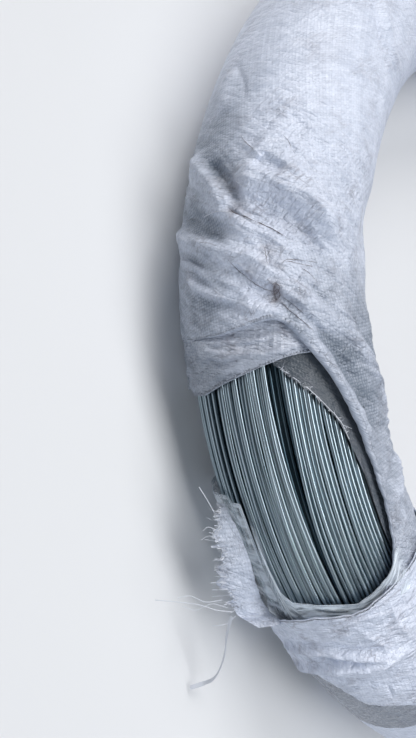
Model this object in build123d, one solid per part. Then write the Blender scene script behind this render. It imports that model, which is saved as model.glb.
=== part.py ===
from build123d import *
import math
import os

# Coil of wire in a wound woven wrap, lying on its side with its axis upright.
# Millimetres and degrees. Origin at the bottom centre, +Z along the coil's axis.
# Angles round the coil are counted from +X towards +Y.
# Angles round the bundle are counted up from its outermost line.
os.makedirs("parts", exist_ok=True)

# Driving dimensions of the wire
coil_radius = 272.0
bundle_radius = 47.0
wire_diameter = 2.4
wire_crest = 0.6
crest_flat = 0.46
bundle_sides = 12

# Driving dimensions of the slot that parts the turns into two lays
lay_gap_angle = 43.0
lay_gap_depth = 9.0

# Driving dimensions of the woven wrap
wrap_slack = 5.0
wrap_lap = 1.2
lap_count = 32
lap_lean = 14.0
lap_sides = 24
foot_flattening = 8.0
foot_wall = 2.0

# Driving dimensions of the cut opening in the wrap
opening_middle = 226.0
opening_arc = 24.2
opening_sill = 14.0
opening_reach_upper = 26.0
opening_reach_middle = 1.0
opening_reach_lower = 9.0
exposed_margin = 2.5

# Driving dimensions of the clear liner film
film_thickness = 0.6
film_side_angle = 10.0
film_band_arc = 10.0
film_band_show = 2.6
film_skirt_arc = 9.0
film_skirt_top = 9.0
film_foot_angle = -30.0
film_crown_angle = 97.0

# Clearance between one piece and the next
fit_gap = 0.3

# Dependent sizes
wrap_radius = bundle_radius + wrap_slack
bundle_height = wrap_radius - foot_flattening
void_floor = foot_wall
wire_floor = void_floor + fit_gap
lap_arc = 360 / lap_count
opening_start = opening_middle - opening_arc / 2
opening_end = opening_middle + opening_arc / 2
film_start = opening_end - film_band_show
film_end = film_start + film_band_arc
exposed_start = opening_start - exposed_margin
exposed_arc = film_end + exposed_margin - exposed_start
film_inner_radius = bundle_radius + fit_gap
film_outer_radius = film_inner_radius + film_thickness
end_play = math.degrees(fit_gap / (coil_radius - wrap_radius))
far_out = coil_radius + 2 * wrap_radius


def on_section(radius, angle):
    """Point of the bundle's upright section, at a radius and angle round its middle."""
    turn = math.radians(angle)
    return (coil_radius + radius * math.cos(turn), 0, bundle_height + radius * math.sin(turn))


def on_plan(radius, angle):
    """Point of the plan view, at a radius and angle round the coil's axis."""
    turn = math.radians(angle)
    return (radius * math.cos(turn), radius * math.sin(turn))


def plain_section(radius, sides):
    """Many-sided upright section of the bundle, its corners at this radius."""
    return Plane.XZ * Pos(coil_radius, bundle_height) * RegularPolygon(radius, sides)


def below(height):
    """Block of all that lies under a height."""
    return Pos(0, 0, height - wrap_radius) * Cylinder(far_out, 2 * wrap_radius)


def turned(section, start, arc):
    """A section turned about the coil's axis through an arc."""
    return Rot(0, 0, start) * revolve(section, Axis.Z, arc)


# Exposed section: a ridge for each outer turn of wire, and the slot between the lays
turn_step = 2 * math.degrees(math.asin(wire_diameter / 2 / (bundle_radius - wire_diameter / 2)))
first_turn = film_foot_angle - 2 * turn_step
turn_count = math.ceil((film_crown_angle - first_turn) / turn_step)
gap_turn = round((lay_gap_angle - first_turn) / turn_step)
valley_radius = bundle_radius - wire_crest


def exposed_section():
    """Section whose outer side shows the turns of wire, each as a ridge with a flat crest."""
    edges = []
    for turn in range(turn_count):
        low = first_turn + turn * turn_step
        high = low + turn_step
        if turn == gap_turn:
            slot_floor = valley_radius - lay_gap_depth
            slot = [on_section(valley_radius, low), on_section(slot_floor, low)]
            slot += [on_section(slot_floor, high), on_section(valley_radius, high)]
            edges += Polyline(*slot).edges()
            continue
        shoulder = (1 - crest_flat) / 2 * turn_step
        crest = [on_section(bundle_radius, low + shoulder), on_section(bundle_radius, high - shoulder)]
        ridge = Polyline(on_section(valley_radius, low), *crest, on_section(valley_radius, high))
        edges += ridge.edges()
    last = first_turn + turn_count * turn_step
    side_angle = 360 / bundle_sides
    foot_angle = math.degrees(math.asin((bundle_height - wire_floor) / bundle_radius))
    inner = [last]
    while inner[-1] + side_angle < 180 + foot_angle:
        inner.append(inner[-1] + side_angle)
    corners = [on_section(bundle_radius, angle) for angle in inner[1:]]
    corners += [on_section(bundle_radius, 180 + foot_angle), on_section(bundle_radius, 360 - foot_angle)]
    ends = [on_section(valley_radius, last), on_section(valley_radius, first_turn)]
    edges += Polyline(ends[0], *corners, ends[1]).edges()
    return make_face(edges)


def wire_coil():
    """The wound wire as one turned solid, with its turns cut where the opening shows them."""
    core = plain_section(bundle_radius, bundle_sides)
    hidden = turned(core, exposed_start + exposed_arc, 360 - exposed_arc)
    return hidden + turned(exposed_section(), exposed_start, exposed_arc) - below(wire_floor)


def lap_plane(angle):
    """Leaning plane of one edge of the wound strip."""
    x, y = on_plan(coil_radius, angle)
    turn = math.radians(angle)
    lean = math.radians(lap_lean)
    radial = (math.cos(turn), math.sin(turn), 0)
    along = (-math.sin(turn) * math.cos(lean), math.cos(turn) * math.cos(lean), -math.sin(lean))
    return Plane(origin=(x, y, bundle_height), x_dir=radial, z_dir=along)


def lap_ring(angle, radius, sides):
    """Outline of the wrap in a leaning plane, many-sided, and round seen along the bundle."""
    stretch = 1 / math.cos(math.radians(lap_lean))
    turns = [2 * math.pi * side / sides for side in range(sides)]
    corners = [(radius * math.cos(turn), stretch * radius * math.sin(turn)) for turn in turns]
    return lap_plane(angle) * Polygon(*corners, align=None)


def wound_ring(start_radius, end_radius, sides):
    """Ring of straight laps, each from one leaning plane to the next."""
    laps = []
    for lap in range(lap_count):
        start = lap * lap_arc
        rings = [lap_ring(start, start_radius, sides), lap_ring(start + lap_arc, end_radius, sides)]
        laps.append(loft(rings, ruled=True))
    return Part() + laps


def opening_block():
    """Block that cuts the opening from the outside to just past the bundle's crown."""
    middle = (opening_start + opening_end) / 2
    upper = on_plan(coil_radius + opening_reach_upper, opening_start)
    crown = on_plan(coil_radius + opening_reach_middle, middle)
    lower = on_plan(coil_radius + opening_reach_lower, opening_end)
    outer = [on_plan(far_out, opening_end), on_plan(far_out, opening_start)]
    edges = [Spline(upper, crown, lower)]
    edges += Polyline(lower, *outer, upper).edges()
    return Pos(0, 0, opening_sill) * extrude(make_face(edges), 2 * wrap_radius)


def film_sector(foot, crown, inner, outer, start, arc):
    """Stretch of film, between two angles round the bundle and through an arc of the coil."""
    side_count = math.ceil((crown - foot) / film_side_angle)
    angles = [foot + (crown - foot) * side / side_count for side in range(side_count + 1)]
    inside = [on_section(inner, angle) for angle in angles]
    outside = [on_section(outer, angle) for angle in reversed(angles)]
    return turned(make_face(Polyline(*inside, *outside, close=True).edges()), start, arc)


def liner_film():
    """Clear film under the wrap: a band along the opening's lower edge and a skirt outside."""
    film = (film_inner_radius, film_outer_radius)
    band = film_sector(film_foot_angle, film_crown_angle, *film, film_start, film_band_arc)
    skirt_start = film_start - film_skirt_arc
    return band + film_sector(film_foot_angle, film_skirt_top, *film, skirt_start, film_skirt_arc)


def woven_wrap():
    """The wound wrap as one closed sleeve with the opening cut in it."""
    sleeve = wound_ring(wrap_radius, wrap_radius - wrap_lap, lap_sides) - below(0)
    lap_sag = (coil_radius + bundle_radius) * (1 - math.cos(math.radians(lap_arc / 2)))
    void_radius = bundle_radius + fit_gap + lap_sag
    void = wound_ring(void_radius, void_radius, bundle_sides)
    mouth_radius = (bundle_radius + fit_gap) / math.cos(math.pi / lap_sides)
    mouth_section = plain_section(mouth_radius, lap_sides)
    mouth = turned(mouth_section, exposed_start - end_play, exposed_arc + 2 * end_play)
    pocket_inner = bundle_radius
    pocket_outer = film_outer_radius + fit_gap
    pocket_span = (film_foot_angle - turn_step / 2, film_crown_angle + turn_step / 2)
    pocket_arc = film_band_arc + end_play
    pocket = film_sector(*pocket_span, pocket_inner, pocket_outer, film_start, pocket_arc)
    return sleeve - (void + mouth - below(void_floor)) - pocket - opening_block()


pieces = {"wire_coil": wire_coil(), "woven_wrap": woven_wrap(), "liner_film": liner_film()}
for name, piece in pieces.items():
    solids = piece.solids()
    print(name, len(solids), "solids", round(piece.volume), piece.bounding_box())
    export_step(solids[0] if len(solids) == 1 else piece, "parts/" + name + ".step")
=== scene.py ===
# %% [markdown]
# # A coil of binding wire in a cut-open woven wrap
# This lesson dresses a coil of galvanised wire. The real thing is a ring of some hundreds of
# turns of wire. Clear film is wound over them, and a strip of white woven tape cloth over that.
# The wrap has been cut open on one side, which shows the wire. Every piece is placed from the
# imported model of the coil, so nothing has to be fitted by eye afterwards.

# %% Load the frame
import math

import bmesh
import bpy
import numpy as np
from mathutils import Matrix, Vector, noise


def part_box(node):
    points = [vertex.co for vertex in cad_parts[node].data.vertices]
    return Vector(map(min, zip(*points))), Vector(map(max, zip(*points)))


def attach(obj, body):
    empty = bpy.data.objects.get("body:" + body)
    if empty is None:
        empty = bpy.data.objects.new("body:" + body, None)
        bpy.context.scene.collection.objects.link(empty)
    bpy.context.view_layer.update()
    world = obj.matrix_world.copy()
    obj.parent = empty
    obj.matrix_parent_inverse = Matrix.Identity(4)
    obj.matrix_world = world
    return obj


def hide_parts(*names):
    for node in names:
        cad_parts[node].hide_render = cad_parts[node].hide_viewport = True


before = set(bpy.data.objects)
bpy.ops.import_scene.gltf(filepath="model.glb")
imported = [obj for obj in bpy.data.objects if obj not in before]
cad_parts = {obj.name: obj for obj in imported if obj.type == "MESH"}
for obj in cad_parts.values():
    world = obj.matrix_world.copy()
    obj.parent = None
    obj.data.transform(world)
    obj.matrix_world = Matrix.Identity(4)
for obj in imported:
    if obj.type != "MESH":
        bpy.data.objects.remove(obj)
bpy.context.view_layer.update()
MM = 0.001
BODY = "root"
# the wobble of folds and threads comes from this seed, so every run gives the same shape
NOISE_SEED = 3
noise.seed_set(NOISE_SEED)

# %% [markdown]
# ## The ring's own coordinates
# Everything on a coil is easiest to say in the coil's own terms: an angle round the coil, an
# angle round the bundle, and a distance from the bundle's middle. The bundle is 47 mm in
# radius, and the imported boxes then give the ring's radius and the height of its middle.

# %% Ring coordinates
BUNDLE = 47 * MM
wire_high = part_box("wire_coil")[1]
wrap_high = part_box("woven_wrap")[1]
RING = wire_high.x - BUNDLE
HEIGHT = wire_high.z - BUNDLE
WRAP = wrap_high.x - RING
FLOOR_SKIN = 0.4 * MM


def on_ring(theta, phi, radius, low=FLOOR_SKIN):
    """Points at angles in degrees round the coil and round the bundle, kept above the floor."""
    t = np.radians(theta)
    p = np.radians(phi)
    out = RING + radius * np.cos(p)
    lift = HEIGHT + radius * np.sin(p)
    lift = np.maximum(lift, low)
    return np.stack([out * np.cos(t), out * np.sin(t), lift], axis=-1)


def from_middle(points):
    """Unit vectors that point out of the bundle's middle, at points near the ring."""
    flat = np.hypot(points[..., 0], points[..., 1])
    middle = np.stack([points[..., 0] / flat * RING, points[..., 1] / flat * RING,
                       np.full(flat.shape, HEIGHT)], axis=-1)
    out = points - middle
    return out / np.linalg.norm(out, axis=-1, keepdims=True)


print("ring radius", round(RING, 4), "middle height", round(HEIGHT, 4), "wrap radius", round(WRAP, 4))

# %% [markdown]
# ## The camera first
# The photograph was taken from close by, so the camera stands only about a quarter of a
# metre away and looks down on the opening. Its lens and place were worked out
# from the coil's outline. The camera comes first because folds, cut edges and threads are easy
# to point at in the picture, and a small function turns such a picture point into a place on
# the coil.

# %% Camera
PICTURE_WIDTH = 416
PICTURE_HEIGHT = 738
FOCAL_PIXELS = 560
SENSOR = 36.0
CAMERA_PLACE = (-404.7 * MM, -267.9 * MM, 270.7 * MM)
CAMERA_TURN = (5.02, -35.85, 24.81)
CAMERA_CLIP = 0.01
# a sight line is followed from its first to its last distance in this many steps
SIGHT_NEAR = 0.12
SIGHT_FAR = 0.60
SIGHT_STEPS = 2400
OPENING_PIXEL = (288, 369)

camera_data = bpy.data.cameras.new("camera")
camera_data.lens = FOCAL_PIXELS / PICTURE_HEIGHT * SENSOR
camera_data.sensor_width = SENSOR
camera_data.clip_start = CAMERA_CLIP
camera = bpy.data.objects.new("camera", camera_data)
camera.location = CAMERA_PLACE
camera.rotation_euler = [math.radians(angle) for angle in CAMERA_TURN]
bpy.context.scene.collection.objects.link(camera)
bpy.context.scene.camera = camera
bpy.context.view_layer.update()
camera_axes = np.array(camera.matrix_world.to_3x3())


def sight_ray(px, py):
    """The direction in which the camera sees a picture point."""
    across = (px - PICTURE_WIDTH / 2) / FOCAL_PIXELS
    down = (py - PICTURE_HEIGHT / 2) / FOCAL_PIXELS
    return camera_axes @ np.array([across, -down, -1.0])


def on_coil(px, py, radius):
    """Where the sight line of a picture point meets the bundle, or passes closest to it."""
    ray = sight_ray(px, py)
    ray = ray / np.linalg.norm(ray)
    reach = np.linspace(SIGHT_NEAR, SIGHT_FAR, SIGHT_STEPS)
    points = np.array(CAMERA_PLACE) + reach[:, None] * ray
    out = np.hypot(points[:, 0], points[:, 1]) - RING
    up = points[:, 2] - HEIGHT
    apart = np.hypot(out, up) - radius
    inside = np.where(apart <= 0)[0]
    pick = inside[0] if len(inside) else int(np.argmin(apart))
    theta = math.degrees(math.atan2(points[pick, 1], points[pick, 0])) % 360
    phi = math.degrees(math.atan2(up[pick], out[pick]))
    return theta, phi, float(radius + max(apart[pick], 0))


def picture_path(pixels, radius):
    """Angles round the coil and the bundle of a list of picture points."""
    found = [on_coil(px, py, radius) for px, py in pixels]
    return np.array([spot[0] for spot in found]), np.array([spot[1] for spot in found])


print("opening middle lies at", [round(value, 1) for value in on_coil(*OPENING_PIXEL, WRAP)[:2]])

# %% [markdown]
# ## Light and floor
# A plain pale floor and soft light show the cloth's relief without colouring it. A broad sun
# on one side gives the folds a lit and a shaded flank. A long narrow lamp above, laid along
# the wires, gives each turn one bright line. A weak lamp beside the opening and a pale world
# fill the shade, and that lamp doesn't show in glossy things, so it adds no second line to a
# turn. The camera and the wires see a plain backdrop instead, pale low down and dark
# overhead. A white floor would bounce too much light into the folds, so the floor is a light
# grey, and its shadow is kept.

# %% Floor, lamps and world
FLOOR_SIZE = 40.0
FLOOR_COLOUR = (0.72, 0.73, 0.75, 1)
FLOOR_ROUGHNESS = 0.7
WORLD_COLOUR = (0.80, 0.88, 1.0, 1)
WORLD_STRENGTH = 0.11
BACKDROP_COLOUR = (0.66, 0.67, 0.69, 1)
OVERHEAD_COLOUR = (0.06, 0.07, 0.08, 1)
# the backdrop darkens between these heights of a direction, 0 level and 1 straight up
BACKDROP_FADES = (0.08, 0.42)
KEY_TOWARDS = (-0.38, 0.70, 0.62)
KEY_SPREAD = 26.0
KEY_POWER = 1.56
KEY_COLOUR = (1.0, 0.98, 0.96)
GLINT_PLACE = (-0.12, -0.10, 1.1)
GLINT_LENGTH = 1.5
GLINT_WIDTH = 0.40
GLINT_TURN = -44.0
GLINT_POWER = 10
GLINT_COLOUR = (1.0, 1.0, 1.0)
FILL_PLACE = (-0.55, -1.6, 0.85)
FILL_SIZE = 1.4
FILL_POWER = 9.0
FILL_COLOUR = (0.85, 0.92, 1.0)
# the opening's middle, round the coil and round the bundle
OPENING_MIDDLE = (226, 45)


def add_lamp(name, kind, power, colour):
    """A lamp of a kind, put in the scene."""
    data = bpy.data.lights.new(name, kind)
    data.energy = power
    data.color = colour
    lamp = bpy.data.objects.new(name, data)
    bpy.context.scene.collection.objects.link(lamp)
    return lamp


def plain_material(name, colour, roughness):
    """A plain rough material for the floor."""
    material = bpy.data.materials.new(name)
    material.use_nodes = True
    shader = material.node_tree.nodes["Principled BSDF"]
    shader.inputs["Base Color"].default_value = colour
    shader.inputs["Roughness"].default_value = roughness
    return material


floor_mesh = bpy.data.meshes.new("floor")
half = FLOOR_SIZE / 2
floor_corners = [(-half, -half, 0), (half, -half, 0), (half, half, 0), (-half, half, 0)]
floor_mesh.from_pydata(floor_corners, [], [(0, 1, 2, 3)])
floor = bpy.data.objects.new("floor", floor_mesh)
floor_mesh.materials.append(plain_material("floor paint", FLOOR_COLOUR, FLOOR_ROUGHNESS))
bpy.context.scene.collection.objects.link(floor)

key = add_lamp("key lamp", "SUN", KEY_POWER, KEY_COLOUR)
key.data.angle = math.radians(KEY_SPREAD)
key.rotation_euler = Vector(KEY_TOWARDS).to_track_quat("Z", "Y").to_euler()
glint = add_lamp("glint lamp", "AREA", GLINT_POWER, GLINT_COLOUR)
glint.data.shape = "RECTANGLE"
glint.data.size = GLINT_LENGTH
glint.data.size_y = GLINT_WIDTH
glint.location = GLINT_PLACE
glint.rotation_euler = (0, 0, math.radians(GLINT_TURN))
fill = add_lamp("fill lamp", "AREA", FILL_POWER, FILL_COLOUR)
fill.visible_glossy = False
fill.data.size = FILL_SIZE
fill.location = FILL_PLACE
opening_spot = Vector(on_ring(*OPENING_MIDDLE, WRAP))
fill.rotation_euler = (Vector(FILL_PLACE) - opening_spot).to_track_quat("Z", "Y").to_euler()
world = bpy.data.worlds.new("soft sky")
world.use_nodes = True
sky = world.node_tree
lit = sky.nodes["Background"]
lit.inputs["Color"].default_value = WORLD_COLOUR
lit.inputs["Strength"].default_value = WORLD_STRENGTH
direction = sky.nodes.new("ShaderNodeSeparateXYZ")
sky.links.new(sky.nodes.new("ShaderNodeTexCoord").outputs["Generated"], direction.inputs["Vector"])
climb = sky.nodes.new("ShaderNodeMapRange")
climb.inputs["From Min"].default_value = BACKDROP_FADES[0]
climb.inputs["From Max"].default_value = BACKDROP_FADES[1]
sky.links.new(direction.outputs["Z"], climb.inputs["Value"])
backdrop = sky.nodes.new("ShaderNodeMixRGB")
backdrop.inputs["Color1"].default_value = BACKDROP_COLOUR
backdrop.inputs["Color2"].default_value = OVERHEAD_COLOUR
sky.links.new(climb.outputs["Result"], backdrop.inputs["Fac"])
seen = sky.nodes.new("ShaderNodeBackground")
sky.links.new(backdrop.outputs["Color"], seen.inputs["Color"])
rays = sky.nodes.new("ShaderNodeLightPath")
viewed = rays.outputs["Is Camera Ray"]
for kind in ("Is Glossy Ray", "Is Transmission Ray"):
    most = sky.nodes.new("ShaderNodeMath")
    most.operation = "MAXIMUM"
    sky.links.new(viewed, most.inputs[0])
    sky.links.new(rays.outputs[kind], most.inputs[1])
    viewed = most.outputs["Value"]
either = sky.nodes.new("ShaderNodeMixShader")
sky.links.new(viewed, either.inputs["Fac"])
sky.links.new(lit.outputs["Background"], either.inputs[1])
sky.links.new(seen.outputs["Background"], either.inputs[2])
sky.links.new(either.outputs["Shader"], sky.nodes["World Output"].inputs["Surface"])
bpy.context.scene.world = world
bpy.context.scene.view_settings.view_transform = "Standard"
print("lamps", [lamp.name for lamp in bpy.data.lights])

# %% [markdown]
# ## Shader groups: weave, dust and crinkles
# The wrap is woven from flat plastic tapes 1.6 mm wide. Each tape passes over and under
# its neighbours, so it looks like a fine chequer of small pillows. The weave could be an image,
# but a small node group draws it from each sheet's own flat coordinates at the right size on
# any sheet. One more group draws patchy dust, which the wire has too, and another the small
# crinkles and hairline creases of cloth that was bunched.

# %% Weave, dust and crinkle groups
# how square a tape's edges are, how much it bows along its length, and a shift of its tones
TAPE_SQUARE = 5.0
TAPE_BOW = 2.4
WEFT_SHIFT = 0.37
# crinkles: how much longer than wide, then each level's fineness and its share of the height
CRINKLE_SQUEEZE = (0.32, 1.0, 1.0)
CRINKLE_LEVELS = ((1.0, 0.56), (2.6, 0.33), (6.0, 0.07))
CRINKLE_SHARP = 3.0
# hairline creases: each level's fineness and seed, and how thin they are
HAIR_LEVELS = ((0.42, 3.7), (0.95, 9.1))
HAIR_SHARP = 34.0
HAIR_PATCHES = 60.0


def new_group(name, inputs, outputs):
    """An empty shader node group with named float or vector sockets."""
    group = bpy.data.node_groups.new(name, "ShaderNodeTree")
    for label, kind, value in inputs:
        socket = group.interface.new_socket(name=label, in_out="INPUT", socket_type=kind)
        if value is not None:
            socket.default_value = value
    for label, kind in outputs:
        group.interface.new_socket(name=label, in_out="OUTPUT", socket_type=kind)
    return group, group.nodes.new("NodeGroupInput"), group.nodes.new("NodeGroupOutput")


def maths(tree, operation, first, second=None, third=None):
    """A math node fed by sockets or by plain numbers. Gives back its result socket."""
    node = tree.nodes.new("ShaderNodeMath")
    node.operation = operation
    for slot, value in enumerate((first, second, third)):
        if value is None:
            continue
        if isinstance(value, (int, float)):
            node.inputs[slot].default_value = value
        else:
            tree.links.new(value, node.inputs[slot])
    return node.outputs[0]


def blend_values(tree, factor, low, high):
    """A value that goes from low to high as the factor goes from 0 to 1."""
    span = maths(tree, "SUBTRACT", high, low)
    return maths(tree, "MULTIPLY_ADD", span, factor, low)


def scaled_noise(tree, vector, scale, detail, stretch=(1, 1, 1)):
    """Noise over a vector that is first stretched, as its grey value."""
    mapping = tree.nodes.new("ShaderNodeMapping")
    mapping.inputs["Scale"].default_value = stretch
    tree.links.new(vector, mapping.inputs["Vector"])
    cloud = tree.nodes.new("ShaderNodeTexNoise")
    cloud.inputs["Scale"].default_value = scale
    cloud.inputs["Detail"].default_value = detail
    tree.links.new(mapping.outputs["Vector"], cloud.inputs["Vector"])
    return cloud.outputs["Fac"]


def tape_profile(tree, place):
    """A tape's flat top and its bow, from a place counted in tape widths."""
    aside = maths(tree, "ABSOLUTE", maths(tree, "SUBTRACT", maths(tree, "FRACT", place), 0.5))
    edge = maths(tree, "POWER", maths(tree, "MULTIPLY", aside, 2.0), TAPE_SQUARE)
    bow = maths(tree, "COSINE", maths(tree, "MULTIPLY", aside, TAPE_BOW))
    return maths(tree, "SUBTRACT", 1.0, edge), bow


def tape_tone(tree, number):
    """A tone from 0 to 1 for each numbered tape."""
    tone = tree.nodes.new("ShaderNodeTexWhiteNoise")
    tone.noise_dimensions = "1D"
    tree.links.new(number, tone.inputs["W"])
    return tone.outputs["Value"]


def crest_of(tree, vector, scale, detail, sharp, seed=None):
    """Crests of a noise: 1 along each and less beside it, thinner the sharper they are."""
    cloud = tree.nodes.new("ShaderNodeTexNoise")
    cloud.inputs["Detail"].default_value = detail
    if seed is not None:
        cloud.noise_dimensions = "4D"
        cloud.inputs["W"].default_value = seed
    tree.links.new(vector, cloud.inputs["Vector"])
    tree.links.new(scale, cloud.inputs["Scale"])
    fold = maths(tree, "ABSOLUTE", maths(tree, "MULTIPLY_ADD", cloud.outputs["Fac"], 2.0, -1.0))
    return maths(tree, "POWER", maths(tree, "SUBTRACT", 1.0, fold), sharp)


def weave_group():
    """Height of a plain weave of flat tapes, and a tone that changes from tape to tape."""
    group, given, made = new_group(
        "woven tapes",
        [("Vector", "NodeSocketVector", None), ("Tape Width", "NodeSocketFloat", 2.0 * MM)],
        [("Height", "NodeSocketFloat"), ("Tone", "NodeSocketFloat")],
    )
    split = group.nodes.new("ShaderNodeSeparateXYZ")
    group.links.new(given.outputs["Vector"], split.inputs["Vector"])
    across = maths(group, "DIVIDE", split.outputs["X"], given.outputs["Tape Width"])
    along = maths(group, "DIVIDE", split.outputs["Y"], given.outputs["Tape Width"])
    column = maths(group, "FLOOR", across)
    row = maths(group, "FLOOR", along)
    over = maths(group, "FLOORED_MODULO", maths(group, "ADD", column, row), 2.0)
    flat_x, bow_x = tape_profile(group, across)
    flat_y, bow_y = tape_profile(group, along)
    warp = maths(group, "MULTIPLY", flat_x, bow_y)
    weft = maths(group, "MULTIPLY", flat_y, bow_x)
    height = blend_values(group, over, warp, weft)
    group.links.new(height, made.inputs["Height"])
    warp_tone = tape_tone(group, column)
    weft_tone = tape_tone(group, maths(group, "ADD", row, WEFT_SHIFT))
    tone = blend_values(group, over, warp_tone, weft_tone)
    group.links.new(tone, made.inputs["Tone"])
    return group


def dust_group():
    """A soft patchy mask of dust, from 0 where clean to 1."""
    group, given, made = new_group(
        "patchy dust",
        [("Vector", "NodeSocketVector", None), ("Scale", "NodeSocketFloat", 40.0),
         ("Cover", "NodeSocketFloat", 0.5)],
        [("Mask", "NodeSocketFloat")],
    )
    cloud = group.nodes.new("ShaderNodeTexNoise")
    cloud.inputs["Detail"].default_value = 7
    cloud.inputs["Roughness"].default_value = 0.62
    group.links.new(given.outputs["Vector"], cloud.inputs["Vector"])
    group.links.new(given.outputs["Scale"], cloud.inputs["Scale"])
    level = maths(group, "SUBTRACT", 1.0, given.outputs["Cover"])
    above = maths(group, "SUBTRACT", cloud.outputs["Fac"], maths(group, "MULTIPLY_ADD", level, 0.5, 0.25))
    mask = group.nodes.new("ShaderNodeClamp")
    group.links.new(maths(group, "MULTIPLY", above, 5.0), mask.inputs["Value"])
    group.links.new(mask.outputs["Result"], made.inputs["Mask"])
    return group


def crinkle_group():
    """Height of small crinkles that run one way where cloth was bunched, and a mask of hairline creases."""
    group, given, made = new_group(
        "crinkles",
        [("Vector", "NodeSocketVector", None), ("Turn", "NodeSocketFloat", 0.6),
         ("Scale", "NodeSocketFloat", 150.0)],
        [("Height", "NodeSocketFloat"), ("Lines", "NodeSocketFloat")],
    )
    turned = group.nodes.new("ShaderNodeVectorRotate")
    turned.rotation_type = "Z_AXIS"
    group.links.new(given.outputs["Vector"], turned.inputs["Vector"])
    group.links.new(given.outputs["Turn"], turned.inputs["Angle"])
    squeezed = group.nodes.new("ShaderNodeMapping")
    squeezed.inputs["Scale"].default_value = CRINKLE_SQUEEZE
    group.links.new(turned.outputs["Vector"], squeezed.inputs["Vector"])
    total = 0.0
    for level, share in CRINKLE_LEVELS:
        scale = maths(group, "MULTIPLY", given.outputs["Scale"], level)
        crest = crest_of(group, squeezed.outputs["Vector"], scale, 2, CRINKLE_SHARP)
        total = maths(group, "MULTIPLY_ADD", crest, share, total)
    group.links.new(total, made.inputs["Height"])
    hairs = 0.0
    for level, seed in HAIR_LEVELS:
        scale = maths(group, "MULTIPLY", given.outputs["Scale"], level)
        hair = crest_of(group, squeezed.outputs["Vector"], scale, 3, HAIR_SHARP, seed)
        hairs = maths(group, "MAXIMUM", hairs, hair)
    where = group.nodes.new("ShaderNodeTexNoise")
    where.inputs["Scale"].default_value = HAIR_PATCHES
    group.links.new(given.outputs["Vector"], where.inputs["Vector"])
    here = group.nodes.new("ShaderNodeClamp")
    group.links.new(maths(group, "MULTIPLY_ADD", where.outputs["Fac"], 6.0, -2.9), here.inputs["Value"])
    group.links.new(maths(group, "MULTIPLY", hairs, here.outputs["Result"]), made.inputs["Lines"])
    return group


WEAVE = weave_group()
DUST = dust_group()
CRINKLE = crinkle_group()


def use_group(tree, group, vector, **values):
    """Places a group in a material, fed with a vector and with plain values."""
    node = tree.nodes.new("ShaderNodeGroup")
    node.node_tree = group
    tree.links.new(vector, node.inputs["Vector"])
    for label, value in values.items():
        node.inputs[label.replace("_", " ")].default_value = value
    return node


def mix_colours(tree, factor, low, high):
    """A colour between two, each a plain colour or a socket."""
    node = tree.nodes.new("ShaderNodeMix")
    node.data_type = "RGBA"
    if isinstance(factor, (int, float)):
        node.inputs["Factor"].default_value = factor
    else:
        tree.links.new(factor, node.inputs["Factor"])
    for label, value in (("A", low), ("B", high)):
        socket = [item for item in node.inputs if item.name == label and item.type == "RGBA"][0]
        if isinstance(value, tuple):
            socket.default_value = value
        else:
            tree.links.new(value, socket)
    return [item for item in node.outputs if item.type == "RGBA"][0]


print("groups", WEAVE.name, CRINKLE.name, DUST.name)

# %% [markdown]
# ## The cloth's finish
# The tapes are white, a little blue in shade, and have a faint gloss, so each small pillow catches the
# light. Dirt has gathered where the cloth has rubbed: a vertex colour carries those spots, because they lie
# in known places. The weave's relief is only bump, because it is a tenth of a millimetre, while every fold
# is real geometry. Light and shade are also painted into the colour. The tops of the tape pillows and the
# crinkle crests are painted lighter, and the crinkle troughs and hairline creases darker. The flap, the
# strap, the outer side, the hollows and the rolled hem under the lip get painted shade.

# %% Cloth material
# the dark and the light end of the cloth colour: random tone, plus painted shade in crinkle troughs and
# painted highlight on crinkle crests and tape tops
CLOTH_DARK_TONE_AND_SHADE = (0.36, 0.41, 0.52, 1)
CLOTH_LIGHT_TONE_AND_HIGHLIGHT = (0.76, 0.81, 0.94, 1)
# grey of the inner and dull layers, which the flap also mixes in as painted shade
CLOTH_GREY_AND_SHADE = (0.075, 0.09, 0.11, 1)
# dust colour, which also gives the painted shade in hairline creases
CLOTH_GRIME_AND_CREASE_SHADE = (0.27, 0.27, 0.32, 1)
# painted shade colour for the strap, the outer side, the hollows, the rolled hem under the lip and the
# flap's lower corner; it also darkens the frayed edge
CLOTH_PAINTED_SHADE = (0.17, 0.205, 0.26, 1)
DIRT_BROWN = (0.10, 0.065, 0.06, 1)
CRINKLE_DEPTH = 1.3 * MM
TAPE_WIDTH = 1.6 * MM
WEAVE_RELIEF = 0.10 * MM
CLOTH_IOR = 1.49
CLOTH_SHINE = 0.6
# how much dust and flecks change the colour, and how much painted shade darkens the hairline creases
DUST_SHARE = 0.22
FLECK_SHARE = 0.20
HAIR_SHADE_SHARE = 0.70
# the cloth's usual tone, and the share of the bright colour that it gives
TONE_MEAN = 1.12
SHARE_MEAN = 0.62


def attribute_of(tree, name):
    """The node that reads a named mesh attribute."""
    node = tree.nodes.new("ShaderNodeAttribute")
    node.attribute_name = name
    return node


def flat_vector(tree):
    """A sheet's own flat coordinates in metres."""
    node = tree.nodes.new("ShaderNodeUVMap")
    node.uv_map = "flat"
    return node.outputs["UV"]


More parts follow.
